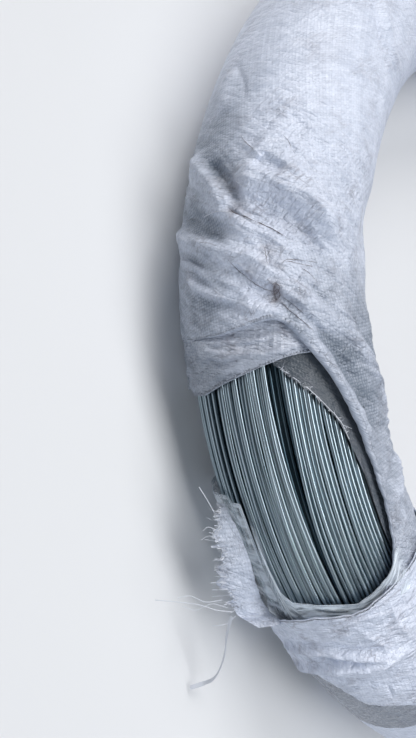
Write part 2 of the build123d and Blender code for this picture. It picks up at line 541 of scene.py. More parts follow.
def cloth_material(name, bright, relief, turns=(2.1, 0.9), rough_from=0.26, contrast=0.75):
    """Woven tape cloth. bright is from 0 for the dull inner layer to 1, and the flap's lower value is
    painted shade; turns are its crinkles' ways.
    """
    material = bpy.data.materials.new(name)
    material.use_nodes = True
    tree = material.node_tree
    shader = tree.nodes["Principled BSDF"]
    flat = flat_vector(tree)
    bunch = attribute_of(tree, "bunch").outputs["Fac"]
    weave = use_group(tree, WEAVE, flat, Tape_Width=TAPE_WIDTH)
    first = use_group(tree, CRINKLE, flat, Turn=turns[0], Scale=125.0)
    second = use_group(tree, CRINKLE, flat, Turn=turns[1], Scale=230.0)
    crinkle = maths(tree, "MULTIPLY_ADD", first.outputs["Height"], 0.65,
                    maths(tree, "MULTIPLY", second.outputs["Height"], 0.35))
    low = tuple(g + (w - g) * bright for g, w in zip(CLOTH_GREY_AND_SHADE, CLOTH_DARK_TONE_AND_SHADE))
    high = tuple(g + (w - g) * bright for g, w in zip(CLOTH_GREY_AND_SHADE, CLOTH_LIGHT_TONE_AND_HIGHLIGHT))
    patches = scaled_noise(tree, flat, 55.0, 6)
    tone = maths(tree, "MULTIPLY_ADD", weave.outputs["Tone"], 0.30, maths(tree, "MULTIPLY", patches, 0.60))
    # painted highlight: the tops of the tape pillows and the crinkle crests are coloured lighter, and the
    # crinkle troughs darker
    pillow_highlight = maths(tree, "MULTIPLY", weave.outputs["Height"], 0.22)
    tone = maths(tree, "ADD", tone, maths(tree, "MULTIPLY_ADD", crinkle, 1.0, pillow_highlight))
    share = tree.nodes.new("ShaderNodeClamp")
    from_mean = maths(tree, "SUBTRACT", tone, TONE_MEAN)
    tree.links.new(maths(tree, "MULTIPLY_ADD", from_mean, contrast, SHARE_MEAN), share.inputs["Value"])
    colour = mix_colours(tree, share.outputs["Result"], low, high)
    dust = use_group(tree, DUST, flat, Scale=22.0, Cover=0.40)
    fleck = use_group(tree, DUST, flat, Scale=330.0, Cover=0.24)
    flecked = maths(tree, "MULTIPLY", fleck.outputs["Mask"], FLECK_SHARE)
    grime = maths(tree, "MULTIPLY_ADD", dust.outputs["Mask"], DUST_SHARE, flecked)
    colour = mix_colours(tree, grime, colour, CLOTH_GRIME_AND_CREASE_SHADE)
    # painted shade: the hairline creases are darkened towards the grime colour
    lines = maths(tree, "MAXIMUM", first.outputs["Lines"], second.outputs["Lines"])
    lines = maths(tree, "MULTIPLY", lines, bunch)
    colour = mix_colours(tree, maths(tree, "MULTIPLY", lines, HAIR_SHADE_SHARE), colour, CLOTH_GRIME_AND_CREASE_SHADE)
    # painted shade: the cloth goes towards a dark blue-grey where the shade attribute is high, more in
    # crinkle troughs and between the tapes
    shade_and_clearness = attribute_of(tree, "shade_and_clearness").outputs["Fac"]
    weave_gap_shade = maths(tree, "MULTIPLY_ADD", weave.outputs["Height"], -0.35, 1.3)
    shade_and_clear_share = maths(tree, "MULTIPLY", shade_and_clearness, maths(tree, "MULTIPLY_ADD", crinkle, -0.6, weave_gap_shade))
    colour = mix_colours(tree, shade_and_clear_share, colour, CLOTH_PAINTED_SHADE)
    soil = attribute_of(tree, "mask")
    speckle = use_group(tree, DUST, flat, Scale=240.0, Cover=0.60)
    broken = maths(tree, "MULTIPLY_ADD", speckle.outputs["Mask"], 0.4, 0.6)
    soiled = maths(tree, "MULTIPLY", soil.outputs["Fac"], broken)
    colour = mix_colours(tree, soiled, colour, DIRT_BROWN)
    tree.links.new(colour, shader.inputs["Base Color"])
    rough = maths(tree, "MULTIPLY_ADD", patches, 0.30, rough_from)
    tree.links.new(rough, shader.inputs["Roughness"])
    shader.inputs["IOR"].default_value = CLOTH_IOR
    shader.inputs["Specular IOR Level"].default_value = CLOTH_SHINE
    fine = tree.nodes.new("ShaderNodeBump")
    fine.inputs["Strength"].default_value = relief
    fine.inputs["Distance"].default_value = WEAVE_RELIEF
    tree.links.new(weave.outputs["Height"], fine.inputs["Height"])
    bump = tree.nodes.new("ShaderNodeBump")
    bump.inputs["Strength"].default_value = relief
    bump.inputs["Distance"].default_value = CRINKLE_DEPTH
    height = maths(tree, "MULTIPLY", crinkle, maths(tree, "MULTIPLY_ADD", bunch, 2.1, 0.1))
    tree.links.new(maths(tree, "MULTIPLY_ADD", lines, -0.30, height), bump.inputs["Height"])
    tree.links.new(fine.outputs["Normal"], bump.inputs["Normal"])
    tree.links.new(bump.outputs["Normal"], shader.inputs["Normal"])
    return material


CLOTH = cloth_material("woven cloth", 1.0, 0.9)
CLOTH_LOWER = cloth_material("woven cloth lower wrap", 1.0, 0.9, (1.80, 1.35))
# the flap is a darker copy of the cloth: painted shade under the lip
CLOTH_FLAP_SHADED = cloth_material("woven cloth flap", 0.66, 1.0, (1.40, 1.72), 0.12, 1.5)
CLOTH_UNDER = cloth_material("woven cloth under layer", 0.40, 1.0, (1.80, 1.35), 0.12, 1.5)
CLOTH_INNER = cloth_material("woven cloth inner layer", 0.0, 0.8)
print("cloth materials", [item.name for item in (CLOTH, CLOTH_LOWER, CLOTH_FLAP_SHADED, CLOTH_UNDER, CLOTH_INNER)])

# %% [markdown]
# ## Folds as lines on the surface
# The cloth is wound tight and bunched towards the opening, so its folds run slantwise and
# gather into one thick fold beside the wire. A cloth simulation gives folds, but not these
# ones in these places. Here each fold is a short line with a height and a width. The
# surface rises near the line, steeply on one side and gently on the other, and noise bends
# the line so that it never looks ruled.

# %% Fold relief


def wobble_of(points, size, amount):
    """Noise vectors that bend fold lines, one for each point."""
    found = [noise.noise_vector(Vector(point) / size) for point in points.tolist()]
    return np.array(found) * amount


def noise_of(columns, seed):
    """Plain noise from -1 to 1 for an array of three columns of scaled coordinates."""
    return np.array([noise.noise((x + seed, y, z)) for x, y, z in columns.tolist()])


def smooth_ramp(values, low, high):
    """0 below low, 1 above high and smooth between."""
    share = np.clip((values - low) / (high - low), 0, 1)
    return share * share * (3 - 2 * share)


def line_distance(points, normals, line):
    """Distance of points to a line of 3-D points, the share along it and the side, +1 or -1."""
    starts = line[:-1]
    spans = line[1:] - starts
    lengths = np.linalg.norm(spans, axis=1)
    before = np.concatenate([[0], np.cumsum(lengths)])
    best = np.full(len(points), 1e9)
    share = np.zeros(len(points))
    side = np.ones(len(points))
    for index in range(len(starts)):
        offset = points - starts[index]
        along = np.clip(offset @ spans[index] / lengths[index] ** 2, 0, 1)
        away = offset - along[:, None] * spans[index]
        apart = np.linalg.norm(away, axis=1)
        nearer = apart < best
        best = np.where(nearer, apart, best)
        share = np.where(nearer, (before[index] + along * lengths[index]) / before[-1], share)
        turn = np.einsum("ij,ij->i", np.cross(spans[index], offset), normals)
        side = np.where(nearer, np.sign(turn), side)
    return best, share, side


def smooth_angles(pixels, radius, pieces=6):
    """A picture line as smooth angles round the coil and round the bundle."""
    theta, phi = picture_path(pixels, radius)
    fine = np.linspace(0, len(pixels) - 1, (len(pixels) - 1) * pieces + 1)
    return catmull(theta, fine), catmull(phi, fine)


def smooth_line(pixels, radius, pieces=6):
    """A picture line as a smooth line of 3-D points on the bundle at a radius."""
    theta, phi = smooth_angles(pixels, radius, pieces)
    return on_ring(theta, phi, radius)


def catmull(values, fine):
    """Smooth values between evenly spaced knots."""
    padded = np.concatenate([[2 * values[0] - values[1]], values, [2 * values[-1] - values[-2]]])
    index = np.clip(np.floor(fine).astype(int), 0, len(values) - 2)
    t = fine - index
    a, b, c, d = padded[index], padded[index + 1], padded[index + 2], padded[index + 3]
    return 0.5 * (2 * b + (c - a) * t + (2 * a - 5 * b + 4 * c - d) * t**2 + (3 * b - a - 3 * c + d) * t**3)


# Each fold: picture points, height in mm, width on its left and on its right in mm, sharpness
FOLDS = {
    "long bright fold": ([(195, 158), (203, 170), (212, 183), (224, 198), (237, 212)], 3.4, 3.2, 8.0, 0.45),
    "its lower run": ([(233, 208), (248, 219), (268, 229), (292, 242)], 1.3, 1.6, 4.0, 0.6),
    "hollow beside it": ([(207, 160), (222, 174), (236, 190), (243, 206)], -2.6, 4.0, 3.6, 0.1),
    "long shaded fold": ([(228, 172), (246, 181), (266, 187), (288, 193), (308, 205), (325, 224),
                          (340, 248)],
                         5.0, 12.0, 5.8, 0.25),
    "valley under it": ([(247, 194), (272, 206), (292, 219), (312, 238), (334, 262)], -2.4, 5.0, 7.0, 0.0),
    "upper dented fold": ([(252, 144), (262, 150), (275, 158), (287, 168), (295, 182)],
                          2.2, 9.0, 4.4, 0.20),
    "upper dent": ([(258, 158), (270, 167), (284, 178)], -1.8, 4.0, 5.0, 0.0),
    "upper crease": ([(238, 132), (246, 144), (256, 153), (264, 166)], 0.5, 0.8, 1.1, 0.8),
    "hollow crinkle": ([(216, 166), (228, 180), (239, 197)], 0.8, 0.7, 1.0, 0.7),
    "valley crinkle one": ([(231, 261), (246, 270), (263, 281)], 0.9, 0.8, 1.0, 0.7),
    "valley crinkle two": ([(238, 265), (251, 278), (265, 289)], 0.7, 0.7, 0.9, 0.7),
    "fine crease": ([(280, 128), (289, 144), (297, 160)], -0.6, 0.9, 1.2, 0.8),
    "left bump fold": ([(171, 221), (179, 232), (188, 239), (202, 244), (224, 253), (245, 258)],
                       3.2, 3.4, 6.0, 0.45),
    "hollow over left bump": ([(187, 214), (206, 226), (228, 240)], -1.6, 5.0, 4.0, 0.0),
    "middle fold": ([(238, 250), (258, 259), (279, 264), (302, 272), (322, 288)], 1.6, 3.0, 5.0, 0.4),
    "dark valley": ([(226, 256), (240, 270), (258, 286), (276, 300), (298, 322), (318, 346)],
                    -1.0, 4.0, 5.0, 0.0),
    "fold over dark valley": ([(214, 244), (232, 252), (256, 268), (280, 284), (304, 303), (326, 326),
                               (346, 352)],
                              2.3, 7.0, 5.0, 0.15),
    "crinkle in dark valley": ([(222, 258), (238, 266), (256, 279), (272, 292)], 0.8, 0.6, 0.9, 0.7),
    "left knuckle": ([(189, 270), (193, 281), (203, 292), (222, 298), (236, 304)], 2.4, 3.0, 2.6, 0.4),
    "hollow under knuckle": ([(196, 290), (208, 299), (224, 304), (238, 309)], -1.4, 2.0, 3.0, 0.1),
    "gathering fold": ([(236, 300), (251, 305), (270, 311), (288, 318)], 2.2, 3.0, 5.0, 0.4),
    "pinched line one": ([(284, 260), (300, 262), (313, 266), (324, 267)], -0.9, 0.8, 1.4, 0.8),
    "pinched line two": ([(283, 264), (300, 267), (318, 271)], 0.9, 1.2, 1.4, 0.7),
    "dirty crease": ([(226, 207), (242, 216), (259, 225), (275, 232), (291, 241)], -1.5, 0.8, 1.9, 0.9),
    "ridge under dirty crease": ([(214, 204), (232, 219), (250, 229), (270, 237), (288, 246)],
                                 1.5, 2.2, 4.4, 0.4),
    "lap of left side": ([(181, 262), (192, 266), (208, 272), (224, 281), (240, 292)], 1.6, 2.2, 3.6, 0.4),
    "second dirty crease": ([(265, 243), (267, 257), (269, 269)], -0.8, 0.8, 1.0, 0.8),
    "spread line one": ([(276, 298), (288, 309), (301, 321), (316, 338)], 1.2, 1.3, 2.2, 0.7),
    "spread line two": ([(281, 291), (297, 302), (313, 318), (330, 338)], 1.0, 1.3, 2.2, 0.7),
    "spread line three": ([(290, 284), (308, 296), (326, 313), (344, 336)], 1.2, 1.6, 3.0, 0.6),
    "side crease": ([(306, 277), (318, 290), (331, 306), (354, 326)], -1.2, 1.0, 4.0, 0.5),
    "strap ridge": ([(283, 316), (304, 332), (323, 356), (340, 384), (356, 412), (371, 445)],
                    1.9, 5.0, 5.0, 0.4),
    "strap valley": ([(300, 312), (325, 340), (348, 372), (366, 402), (384, 440)], -1.9, 5.0, 4.5, 0.0),
    "strap outer ridge": ([(326, 294), (348, 326), (368, 360), (386, 394), (404, 436)], 2.0, 6.0, 4.0, 0.3),
    "strap crease": ([(346, 305), (362, 332), (380, 362), (396, 392)], -1.0, 1.4, 2.0, 0.7),
    "dent facet edge": ([(412, 446), (404, 462), (400, 482), (397, 505)], 1.6, 2.0, 5.0, 0.7),
    "dent facet": ([(396, 456), (391, 478), (390, 500)], -2.0, 4.5, 4.0, 0.0),
    "facet crease": ([(400, 500), (404, 520), (399, 540)], 1.0, 1.2, 1.4, 0.8),
    "narrow waist": ([(376, 180), (371, 215), (367, 250), (368, 285), (374, 325)], -2.6, 13.0, 16.0, 0.0),
    "upper soft hollow": ([(288, 110), (298, 119), (307, 130)], -1.0, 3.0, 3.5, 0.0),
    "upper slant crease": ([(262, 118), (276, 124), (290, 134)], 0.8, 1.4, 2.2, 0.6),
    "top overlap": ([(373, -8), (379, 24), (386, 58), (392, 92)], -1.6, 0.9, 1.6, 0.8),
    "top overlap fold": ([(381, -8), (387, 24), (394, 58), (398, 90)], 1.6, 4.0, 1.8, 0.4),
    "top left swell": ([(232, 70), (226, 92), (228, 114)], 1.6, 6.0, 7.0, 0.1),
    "top left crease": ([(236, 62), (243, 80), (246, 98)], -0.9, 1.6, 2.2, 0.5),
}
FLAP_FOLDS = {
    "flap highlight": ([(196, 347), (214, 351), (236, 354), (262, 353), (288, 347), (302, 346)],
                       4.0, 2.2, 4.8, 0.45),
    "flap second ridge": ([(190, 341), (212, 343), (238, 342), (262, 339), (280, 334)], 2.6, 1.4, 2.0, 0.6),
    "flap third ridge": ([(216, 345), (240, 348), (266, 345), (290, 338)], 1.6, 1.0, 1.3, 0.7),
    "flap hollow": ([(190, 352), (194, 366), (200, 382)], -1.2, 4.0, 5.0, 0.0),
    "flap lower ridge": ([(226, 366), (248, 361), (272, 355), (296, 349)], 1.5, 1.2, 2.2, 0.6),
    "flap small crease": ([(206, 358), (226, 362), (246, 358)], -1.1, 0.8, 1.4, 0.7),
    "flap fine ridge one": ([(202, 353), (224, 357), (250, 356), (278, 351)], 1.0, 0.7, 1.0, 0.8),
    "flap fine ridge two": ([(230, 348), (256, 348), (282, 343), (298, 341)], 0.9, 0.7, 0.9, 0.8),
    "flap fine ridge three": ([(212, 366), (230, 369), (246, 365)], 0.8, 0.8, 1.2, 0.7),
}
LOWER_FOLDS = {
    "pucker one": ([(266, 634), (290, 641), (318, 645), (344, 649), (372, 650), (402, 640)],
                   -1.8, 1.2, 1.8, 0.6),
    "pucker ridge": ([(270, 640), (294, 647), (318, 651), (345, 655), (374, 656), (404, 648)],
                     2.8, 1.5, 1.5, 0.6),
    "pucker two": ([(276, 646), (300, 652), (324, 657), (350, 660), (380, 660)], -2.0, 1.2, 1.4, 0.6),
    "bright lower fold": ([(276, 652), (300, 660), (330, 665), (361, 664), (390, 657), (416, 644)],
                          4.0, 2.2, 4.4, 0.5),
    "shade band": ([(318, 673), (345, 680), (380, 682), (416, 678)], -1.6, 5.0, 3.5, 0.0),
    "slant crease": ([(352, 626), (372, 640), (392, 650)], 0.8, 1.8, 1.8, 0.6),
    "second slant crease": ([(390, 606), (398, 624), (412, 640)], 0.8, 1.8, 1.8, 0.6),
    "tear fold": ([(391, 680), (390, 689), (393, 698)], -1.2, 0.7, 1.2, 0.9),
    "hem crease": ([(300, 624), (330, 623), (352, 620), (367, 614), (379, 606), (391, 596), (401, 586),
                    (410, 576)],
                   -0.8, 0.7, 0.9, 0.8),
}
FOLD_GAIN = 1.45


def fold_relief(points, folds, radius):
    """Height over the plain surface that all folds make together, in metres."""
    bent = points + wobble_of(points, 14 * MM, 1.3 * MM) + wobble_of(points, 5 * MM, 0.35 * MM)
    normals = from_middle(points)
    relief = np.zeros(len(points))
    for pixels, height, left, right, sharp in folds.values():
        line = smooth_line(pixels, radius)
        reach = 5 * max(left, right) * MM
        near = np.where(np.all((bent > line.min(0) - reach) & (bent < line.max(0) + reach), axis=1))[0]
        if len(near) == 0:
            continue
        apart, share, side = line_distance(bent[near], normals[near], line)
        width = np.where(side > 0, left, right) * MM
        scaled = apart / width
        shape = (1 - sharp) * np.exp(-scaled**2) + sharp * np.exp(-1.5 * np.sqrt(scaled**2 + 0.02))
        ends = smooth_ramp(share, -0.02, 0.22) * smooth_ramp(1 - share, -0.02, 0.25)
        relief[near] += FOLD_GAIN * height * MM * shape * ends
    return relief


def fine_relief(theta, phi, zone, lean_degrees=34):
    """Small slant wrinkles all over the cloth, stronger where zone is 1."""
    along = np.radians(theta) * RING
    around = np.radians(phi) * WRAP
    lean = math.radians(lean_degrees)
    run = (around * math.cos(lean) + along * math.sin(lean))
    cross = (-around * math.sin(lean) + along * math.cos(lean))
    sway = noise_of(np.stack([run / 0.03, cross / 0.02, 0 * run], -1), 3.1) * 4 * MM
    streak = noise_of(np.stack([run / 0.040, (cross + sway) / 0.0062, 0 * run], -1), 11.7)
    small = noise_of(np.stack([run / 0.022, (cross + sway) / 0.0024, 0 * run], -1), 5.3)
    broad = noise_of(np.stack([along / 0.035, around / 0.03, 0 * run], -1), 23.9)
    crest = (1 - np.abs(streak)) ** 3 - 0.4
    return MM * (0.6 * broad + zone * (0.85 * crest + 0.42 * small) + 0.10 * small)


print("folds", len(FOLDS), "flap folds", len(FLAP_FOLDS), "lower folds", len(LOWER_FOLDS))

# %% [markdown]
# ## A sheet from a grid
# Each layer of the wrap is one sheet of cloth: a grid of angles round the coil and round the
# bundle, lifted by its relief. A free edge gets a few more rows that roll under, because cut
# cloth is folded there, and a bare edge of no thickness would look like paper.

# %% Sheet builder
HEM_ROWS = 7
WELD = 0.002 * MM


def grid_part(points, flat_u, flat_v, mask, bunch=0.4, shade_and_clearness=0.0):
    """One grid of points, rows by columns, as a part of a mesh, with its dirt, its crinkling, and its
    painted shade, which on the film is its clearness.
    """
    rows, columns = points.shape[:2]
    index = np.arange(rows * columns).reshape(rows, columns)
    quads = np.stack([index[:-1, :-1], index[:-1, 1:], index[1:, 1:], index[1:, :-1]], axis=-1)
    quads = quads.reshape(-1, 4)
    corners = np.stack([flat_u.reshape(-1)[quads], flat_v.reshape(-1)[quads]], axis=-1)
    shades = [np.broadcast_to(shade, (rows, columns)).reshape(-1) for shade in (mask, bunch, shade_and_clearness)]
    return points.reshape(-1, 3), quads, corners.reshape(-1, 2), shades


def build_mesh(name, parts, material, weld=True):
    """An object from grid parts. Points that two parts share become one, so the shading runs on."""
    start = np.cumsum([0] + [len(part[0]) for part in parts])
    points = np.concatenate([part[0] for part in parts])
    quads = np.concatenate([part[1] + first for part, first in zip(parts, start)])
    mesh = bpy.data.meshes.new(name)
    mesh.from_pydata(points.tolist(), [], quads.tolist())
    corners = np.concatenate([part[2] for part in parts]).astype(np.float32)
    mesh.uv_layers.new(name="flat").data.foreach_set("uv", corners.reshape(-1))
    for slot, label in enumerate(("mask", "bunch", "shade_and_clearness")):
        shade = np.concatenate([part[3][slot] for part in parts]).astype(np.float32)
        mesh.attributes.new(label, "FLOAT", "POINT").data.foreach_set("value", shade)
    shaped = bmesh.new()
    shaped.from_mesh(mesh)
    if weld:
        bmesh.ops.remove_doubles(shaped, verts=shaped.verts, dist=WELD)
    loose = [vertex for vertex in shaped.verts if not vertex.link_faces]
    bmesh.ops.delete(shaped, geom=loose, context="VERTS")
    shaped.to_mesh(mesh)
    shaped.free()
    mesh.materials.append(material)
    mesh.polygons.foreach_set("use_smooth", [True] * len(mesh.polygons))
    mesh.update()
    piece = bpy.data.objects.new(name, mesh)
    bpy.context.scene.collection.objects.link(piece)
    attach(piece, BODY)
    print(name, len(quads) * 2, "triangles")
    return piece


def unit(vectors):
    """The same vectors, one unit long."""
    return vectors / (np.linalg.norm(vectors, axis=-1, keepdims=True) + 1e-12)


def rolled_hem(edge, before, radius, tuck, flat_u, flat_v, shade_and_clearness=0.0):
    """A part that rolls under a free edge and runs back below the sheet for a little way."""
    normal = from_middle(edge)
    outward = unit(np.cross(np.gradient(edge, axis=0), normal))
    outward = outward * np.sign(np.sum(outward * (edge - before)))
    size = np.broadcast_to(radius, (len(edge),))[:, None]
    rows = [edge]
    for step in range(1, HEM_ROWS + 1):
        turn = math.pi * min(step / (HEM_ROWS - 2), 1)
        back = max(step - (HEM_ROWS - 2), 0) * tuck / 2
        rows.append(edge + outward * (size * math.sin(turn) - back) - normal * (size * (1 - math.cos(turn))))
    rows = np.array(rows)
    rows[..., 2] = np.maximum(rows[..., 2], FLOOR_SKIN)
    along = np.linspace(0, 1, HEM_ROWS + 1)[:, None] * (math.pi * np.max(radius) + tuck)
    return grid_part(rows, flat_u[None, :] + along, flat_v[None, :] + 0 * along, 0.0, 0.4, shade_and_clearness)


def spread(low, high, steps):
    """Values from low to high. steps lists (up to which value, step size)."""
    values = [low]
    while values[-1] < high - 1e-9:
        step = [size for limit, size in steps if values[-1] < limit - 1e-9][0]
        values.append(min(values[-1] + step, high))
    return np.array(values)


def flat_place(theta, phi, middle, lean):
    """Flat coordinates in metres of cloth that lies at these angles, its weave turned by lean degrees."""
    around = np.radians(phi) * WRAP
    along = np.radians(theta - middle) * (RING + WRAP * np.cos(np.radians(phi)))
    c, s = math.cos(math.radians(lean)), math.sin(math.radians(lean))
    return along * c + around * s, around * c - along * s


def declare(piece):
    """Prints a sheet's flat size, which comes from its own flat coordinates and its area, and prints the
    area too.
    """
    mesh = piece.data
    flat = np.empty(len(mesh.loops) * 2, dtype=np.float32)
    mesh.uv_layers["flat"].data.foreach_get("uv", flat)
    size = np.ptp(flat.reshape(-1, 2), axis=0).astype(float)
    area = sum(polygon.area for polygon in mesh.polygons)
    size = size * max(1.0, math.sqrt(area / (size[0] * size[1])))
    print(piece.name, "flat", np.round(size, 3), "area", round(area, 4))


# rubbed spots: picture point, size in mm and strength
SOIL_SPOTS = [
    ((236, 186), 5.0, 0.55), ((238, 206), 4.0, 0.6), ((233, 212), 3.0, 0.6), ((268, 250), 4.5, 0.5),
    ((266, 262), 3.0, 0.5), ((275, 291), 3.2, 0.9), ((274, 299), 3.0, 0.7), ((278, 266), 3.0, 0.5),
    ((245, 215), 3.0, 0.5), ((252, 275), 4.5, 0.3), ((218, 178), 4.5, 0.3), ((290, 222), 6, 0.2),
]
# dirty creases, and last a dark line along the lower wrap's hem crease: picture points, width in mm and
# strength
SOIL_LINES = [
    ([(226, 207), (242, 216), (259, 225), (275, 232), (291, 241)], 0.65, 0.85),
    ([(227, 257), (242, 270), (259, 282), (275, 297)], 0.6, 0.65),
    ([(275, 298), (287, 308), (299, 318), (309, 331)], 0.5, 0.5),
    ([(284, 260), (299, 261), (313, 266), (323, 267)], 0.5, 0.65),
    ([(265, 243), (267, 257), (269, 269)], 0.55, 0.6),
    ([(278, 268), (285, 260), (296, 258)], 0.5, 0.5),
    ([(239, 134), (256, 154), (263, 166)], 0.45, 0.5),
    ([(283, 135), (290, 145), (297, 159)], 0.4, 0.35),
    ([(376, 0), (382, 30), (388, 61)], 0.5, 0.6),
    ([(236, 181), (238, 200)], 1.1, 0.35),
    ([(240, 130), (252, 138), (266, 140)], 0.4, 0.3),
    ([(245, 153), (262, 170), (280, 178)], 0.5, 0.25),
    ([(208, 172), (222, 192), (240, 208)], 0.5, 0.3),
    ([(300, 270), (318, 289), (334, 312)], 0.45, 0.3),
    ([(194, 280), (204, 296), (218, 302)], 0.5, 0.35),
    ([(352, 620), (367, 614), (379, 606), (391, 596), (401, 586), (410, 576)], 0.5, 0.75),
]


def soil_mask(points):
    """Dirt where the cloth has rubbed, and a dark line along the lower wrap's hem crease, from 0 to 1."""
    mask = np.zeros(len(points))
    bent = points + wobble_of(points, 6 * MM, 2.0 * MM)
    for (px, py), size, strength in SOIL_SPOTS:
        theta, phi, radius = on_coil(px, py, WRAP)
        centre = on_ring(theta, phi, radius)
        apart = np.linalg.norm(bent - centre, axis=1) / (size * MM)
        mask = np.maximum(mask, strength * np.exp(-apart**2))
    drift = points + wobble_of(points, 9 * MM, 1.2 * MM) + wobble_of(points, 2.5 * MM, 0.4 * MM)
    for pixels, width, strength in SOIL_LINES:
        line = smooth_line(pixels, WRAP)
        near = np.where(np.all((drift > line.min(0) - 5 * MM) & (drift < line.max(0) + 5 * MM), axis=1))[0]
        if len(near) == 0:
            continue
        apart, share, side = line_distance(drift[near], drift[near], line)
        fade = smooth_ramp(share, -0.05, 0.15) * smooth_ramp(1 - share, -0.05, 0.3)
        mask[near] = np.maximum(mask[near], strength * fade * np.exp(-(apart / (width * MM)) ** 2))
    return mask


def wrap_zone(theta, phi):
    """Where the cloth is bunched: near the opening's upper side, less on the inner side."""
    calm = 0.7 * smooth_ramp(phi, 78, 100) * (1 - smooth_ramp(theta, 202, 212))
    return (smooth_ramp(theta, 186, 198) * 0.8 + 0.2) * (1 - calm)


def painted_shade_zone(theta, phi):
    """How much painted shade darkens the cloth: down the strap and on the outer side."""
    down_the_strap = 1.1 * smooth_ramp(theta, 200, 214) * (1 - 0.4 * smooth_ramp(theta, 216, 228))
    down_the_strap = down_the_strap * smooth_ramp(phi, 40, 58)
    outer_side = (1 - smooth_ramp(phi, 6, 38)) * smooth_ramp(theta, 180, 194)
    return np.maximum(down_the_strap, outer_side)


def dress(piece, node):
    """Hides the imported solid that a piece stands for."""
    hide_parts(node)
    return piece


print("soil spots", len(SOIL_SPOTS))

# %% [markdown]
# ## The wire
# The turns lie side by side, but they are not ruled lines. Each one sways a little, some sit deeper than
# others, and two lays part with a dark gap between them. That unevenness is what makes it read as a bundle.
# A second lay just under the first closes the view between turns, and a plain ring of wire fills the part
# that the wrap hides. The second lay, the ring and the sunken turns on the outer side get a dark tone, which
# is painted shade.

# %% Wire
WIRE_RADIUS = 1.12 * MM
WIRE_STEP = 2.95
WIRE_FIRST = -78.0
WIRE_COUNT = 62
WIRE_SPAN = (203.0, 246.0)
# each lay's depth, shift round the bundle in degrees, sides of a wire and step along it in degrees
WIRE_LAYS = [(0.0, 0.0, 12, 0.6), (2.25 * MM, WIRE_STEP / 2, 8, 0.9)]
LAY_GAP = 43.0
SPARSE_BELOW = 6.0
SPARSE_DEPTH = 1.9 * MM
LAY_GAP_OPEN = 4.6
# painted shade: tones for the deeper lay and the core, and for the sunken turns on the outer side
DEEP_SHADE_TONE = -0.55
SPARSE_SHADE_TONE = -0.25
CORE_RADIUS = 43.0 * MM
ZINC_LIGHT = (0.54, 0.65, 0.72, 1)
ZINC_DARK = (0.04, 0.075, 0.10, 1)
ZINC_DUST = (0.60, 0.66, 0.68, 1)
ZINC_ROUGHNESS = 0.235


def wire_material():
    """Galvanised wire with long streaks. The mask holds a tone of its own for each turn, kept low as painted
    shade on the deeper lay, the core and the outer-side turns.
    """
    material = bpy.data.materials.new("zinc wire")
    material.use_nodes = True
    tree = material.node_tree
    shader = tree.nodes["Principled BSDF"]
    flat = flat_vector(tree)
    streak = scaled_noise(tree, flat, 40.0, 3, (0.5, 22, 1))
    cloud = scaled_noise(tree, flat, 45.0, 4, (1, 3, 1))
    tone = maths(tree, "MULTIPLY_ADD", attribute_of(tree, "mask").outputs["Fac"], 0.5,
                 maths(tree, "MULTIPLY", maths(tree, "ADD", streak, cloud), 0.35))
    colour = mix_colours(tree, tone, ZINC_DARK, ZINC_LIGHT)
    dust = use_group(tree, DUST, flat, Scale=90.0, Cover=0.30)
    dusty = maths(tree, "MULTIPLY", dust.outputs["Mask"], 0.25)
    colour = mix_colours(tree, dusty, colour, ZINC_DUST)
    tree.links.new(colour, shader.inputs["Base Color"])
    streaky = maths(tree, "MULTIPLY_ADD", streak, 0.10, ZINC_ROUGHNESS)
    rough = maths(tree, "MULTIPLY_ADD", dust.outputs["Mask"], 0.10, streaky)
    tree.links.new(rough, shader.inputs["Roughness"])
    shader.inputs["Metallic"].default_value = 1.0
    bump = tree.nodes.new("ShaderNodeBump")
    bump.inputs["Strength"].default_value = 0.15
    bump.inputs["Distance"].default_value = 0.02 * MM
    tree.links.new(scaled_noise(tree, flat, 700.0, 1, (0.02, 1, 1)), bump.inputs["Height"])
    tree.links.new(bump.outputs["Normal"], shader.inputs["Normal"])
    return material


def tube_part(path, radius, sides, tone=0.5, offset=0.0):
    """A round tube along a line of points, as a part of a mesh."""
    tangent = unit(np.gradient(path, axis=0))
    normal = from_middle(path)
    normal = unit(normal - np.einsum("ij,ij->i", normal, tangent)[:, None] * tangent)
    side = np.cross(tangent, normal)
    turn = np.linspace(-math.pi, math.pi, sides + 1)
    ring = normal[:, None] * np.cos(turn)[None, :, None] + side[:, None] * np.sin(turn)[None, :, None]
    size = np.broadcast_to(radius, (len(path),))[:, None, None]
    along = np.concatenate([[0], np.cumsum(np.linalg.norm(np.diff(path, axis=0), axis=1))])
    flat_u = along[:, None] + offset * 7 + 0 * turn
    flat_v = offset + turn * float(np.max(radius)) + 0 * along[:, None]
    return grid_part(path[:, None] + ring * size, flat_u, flat_v, tone)


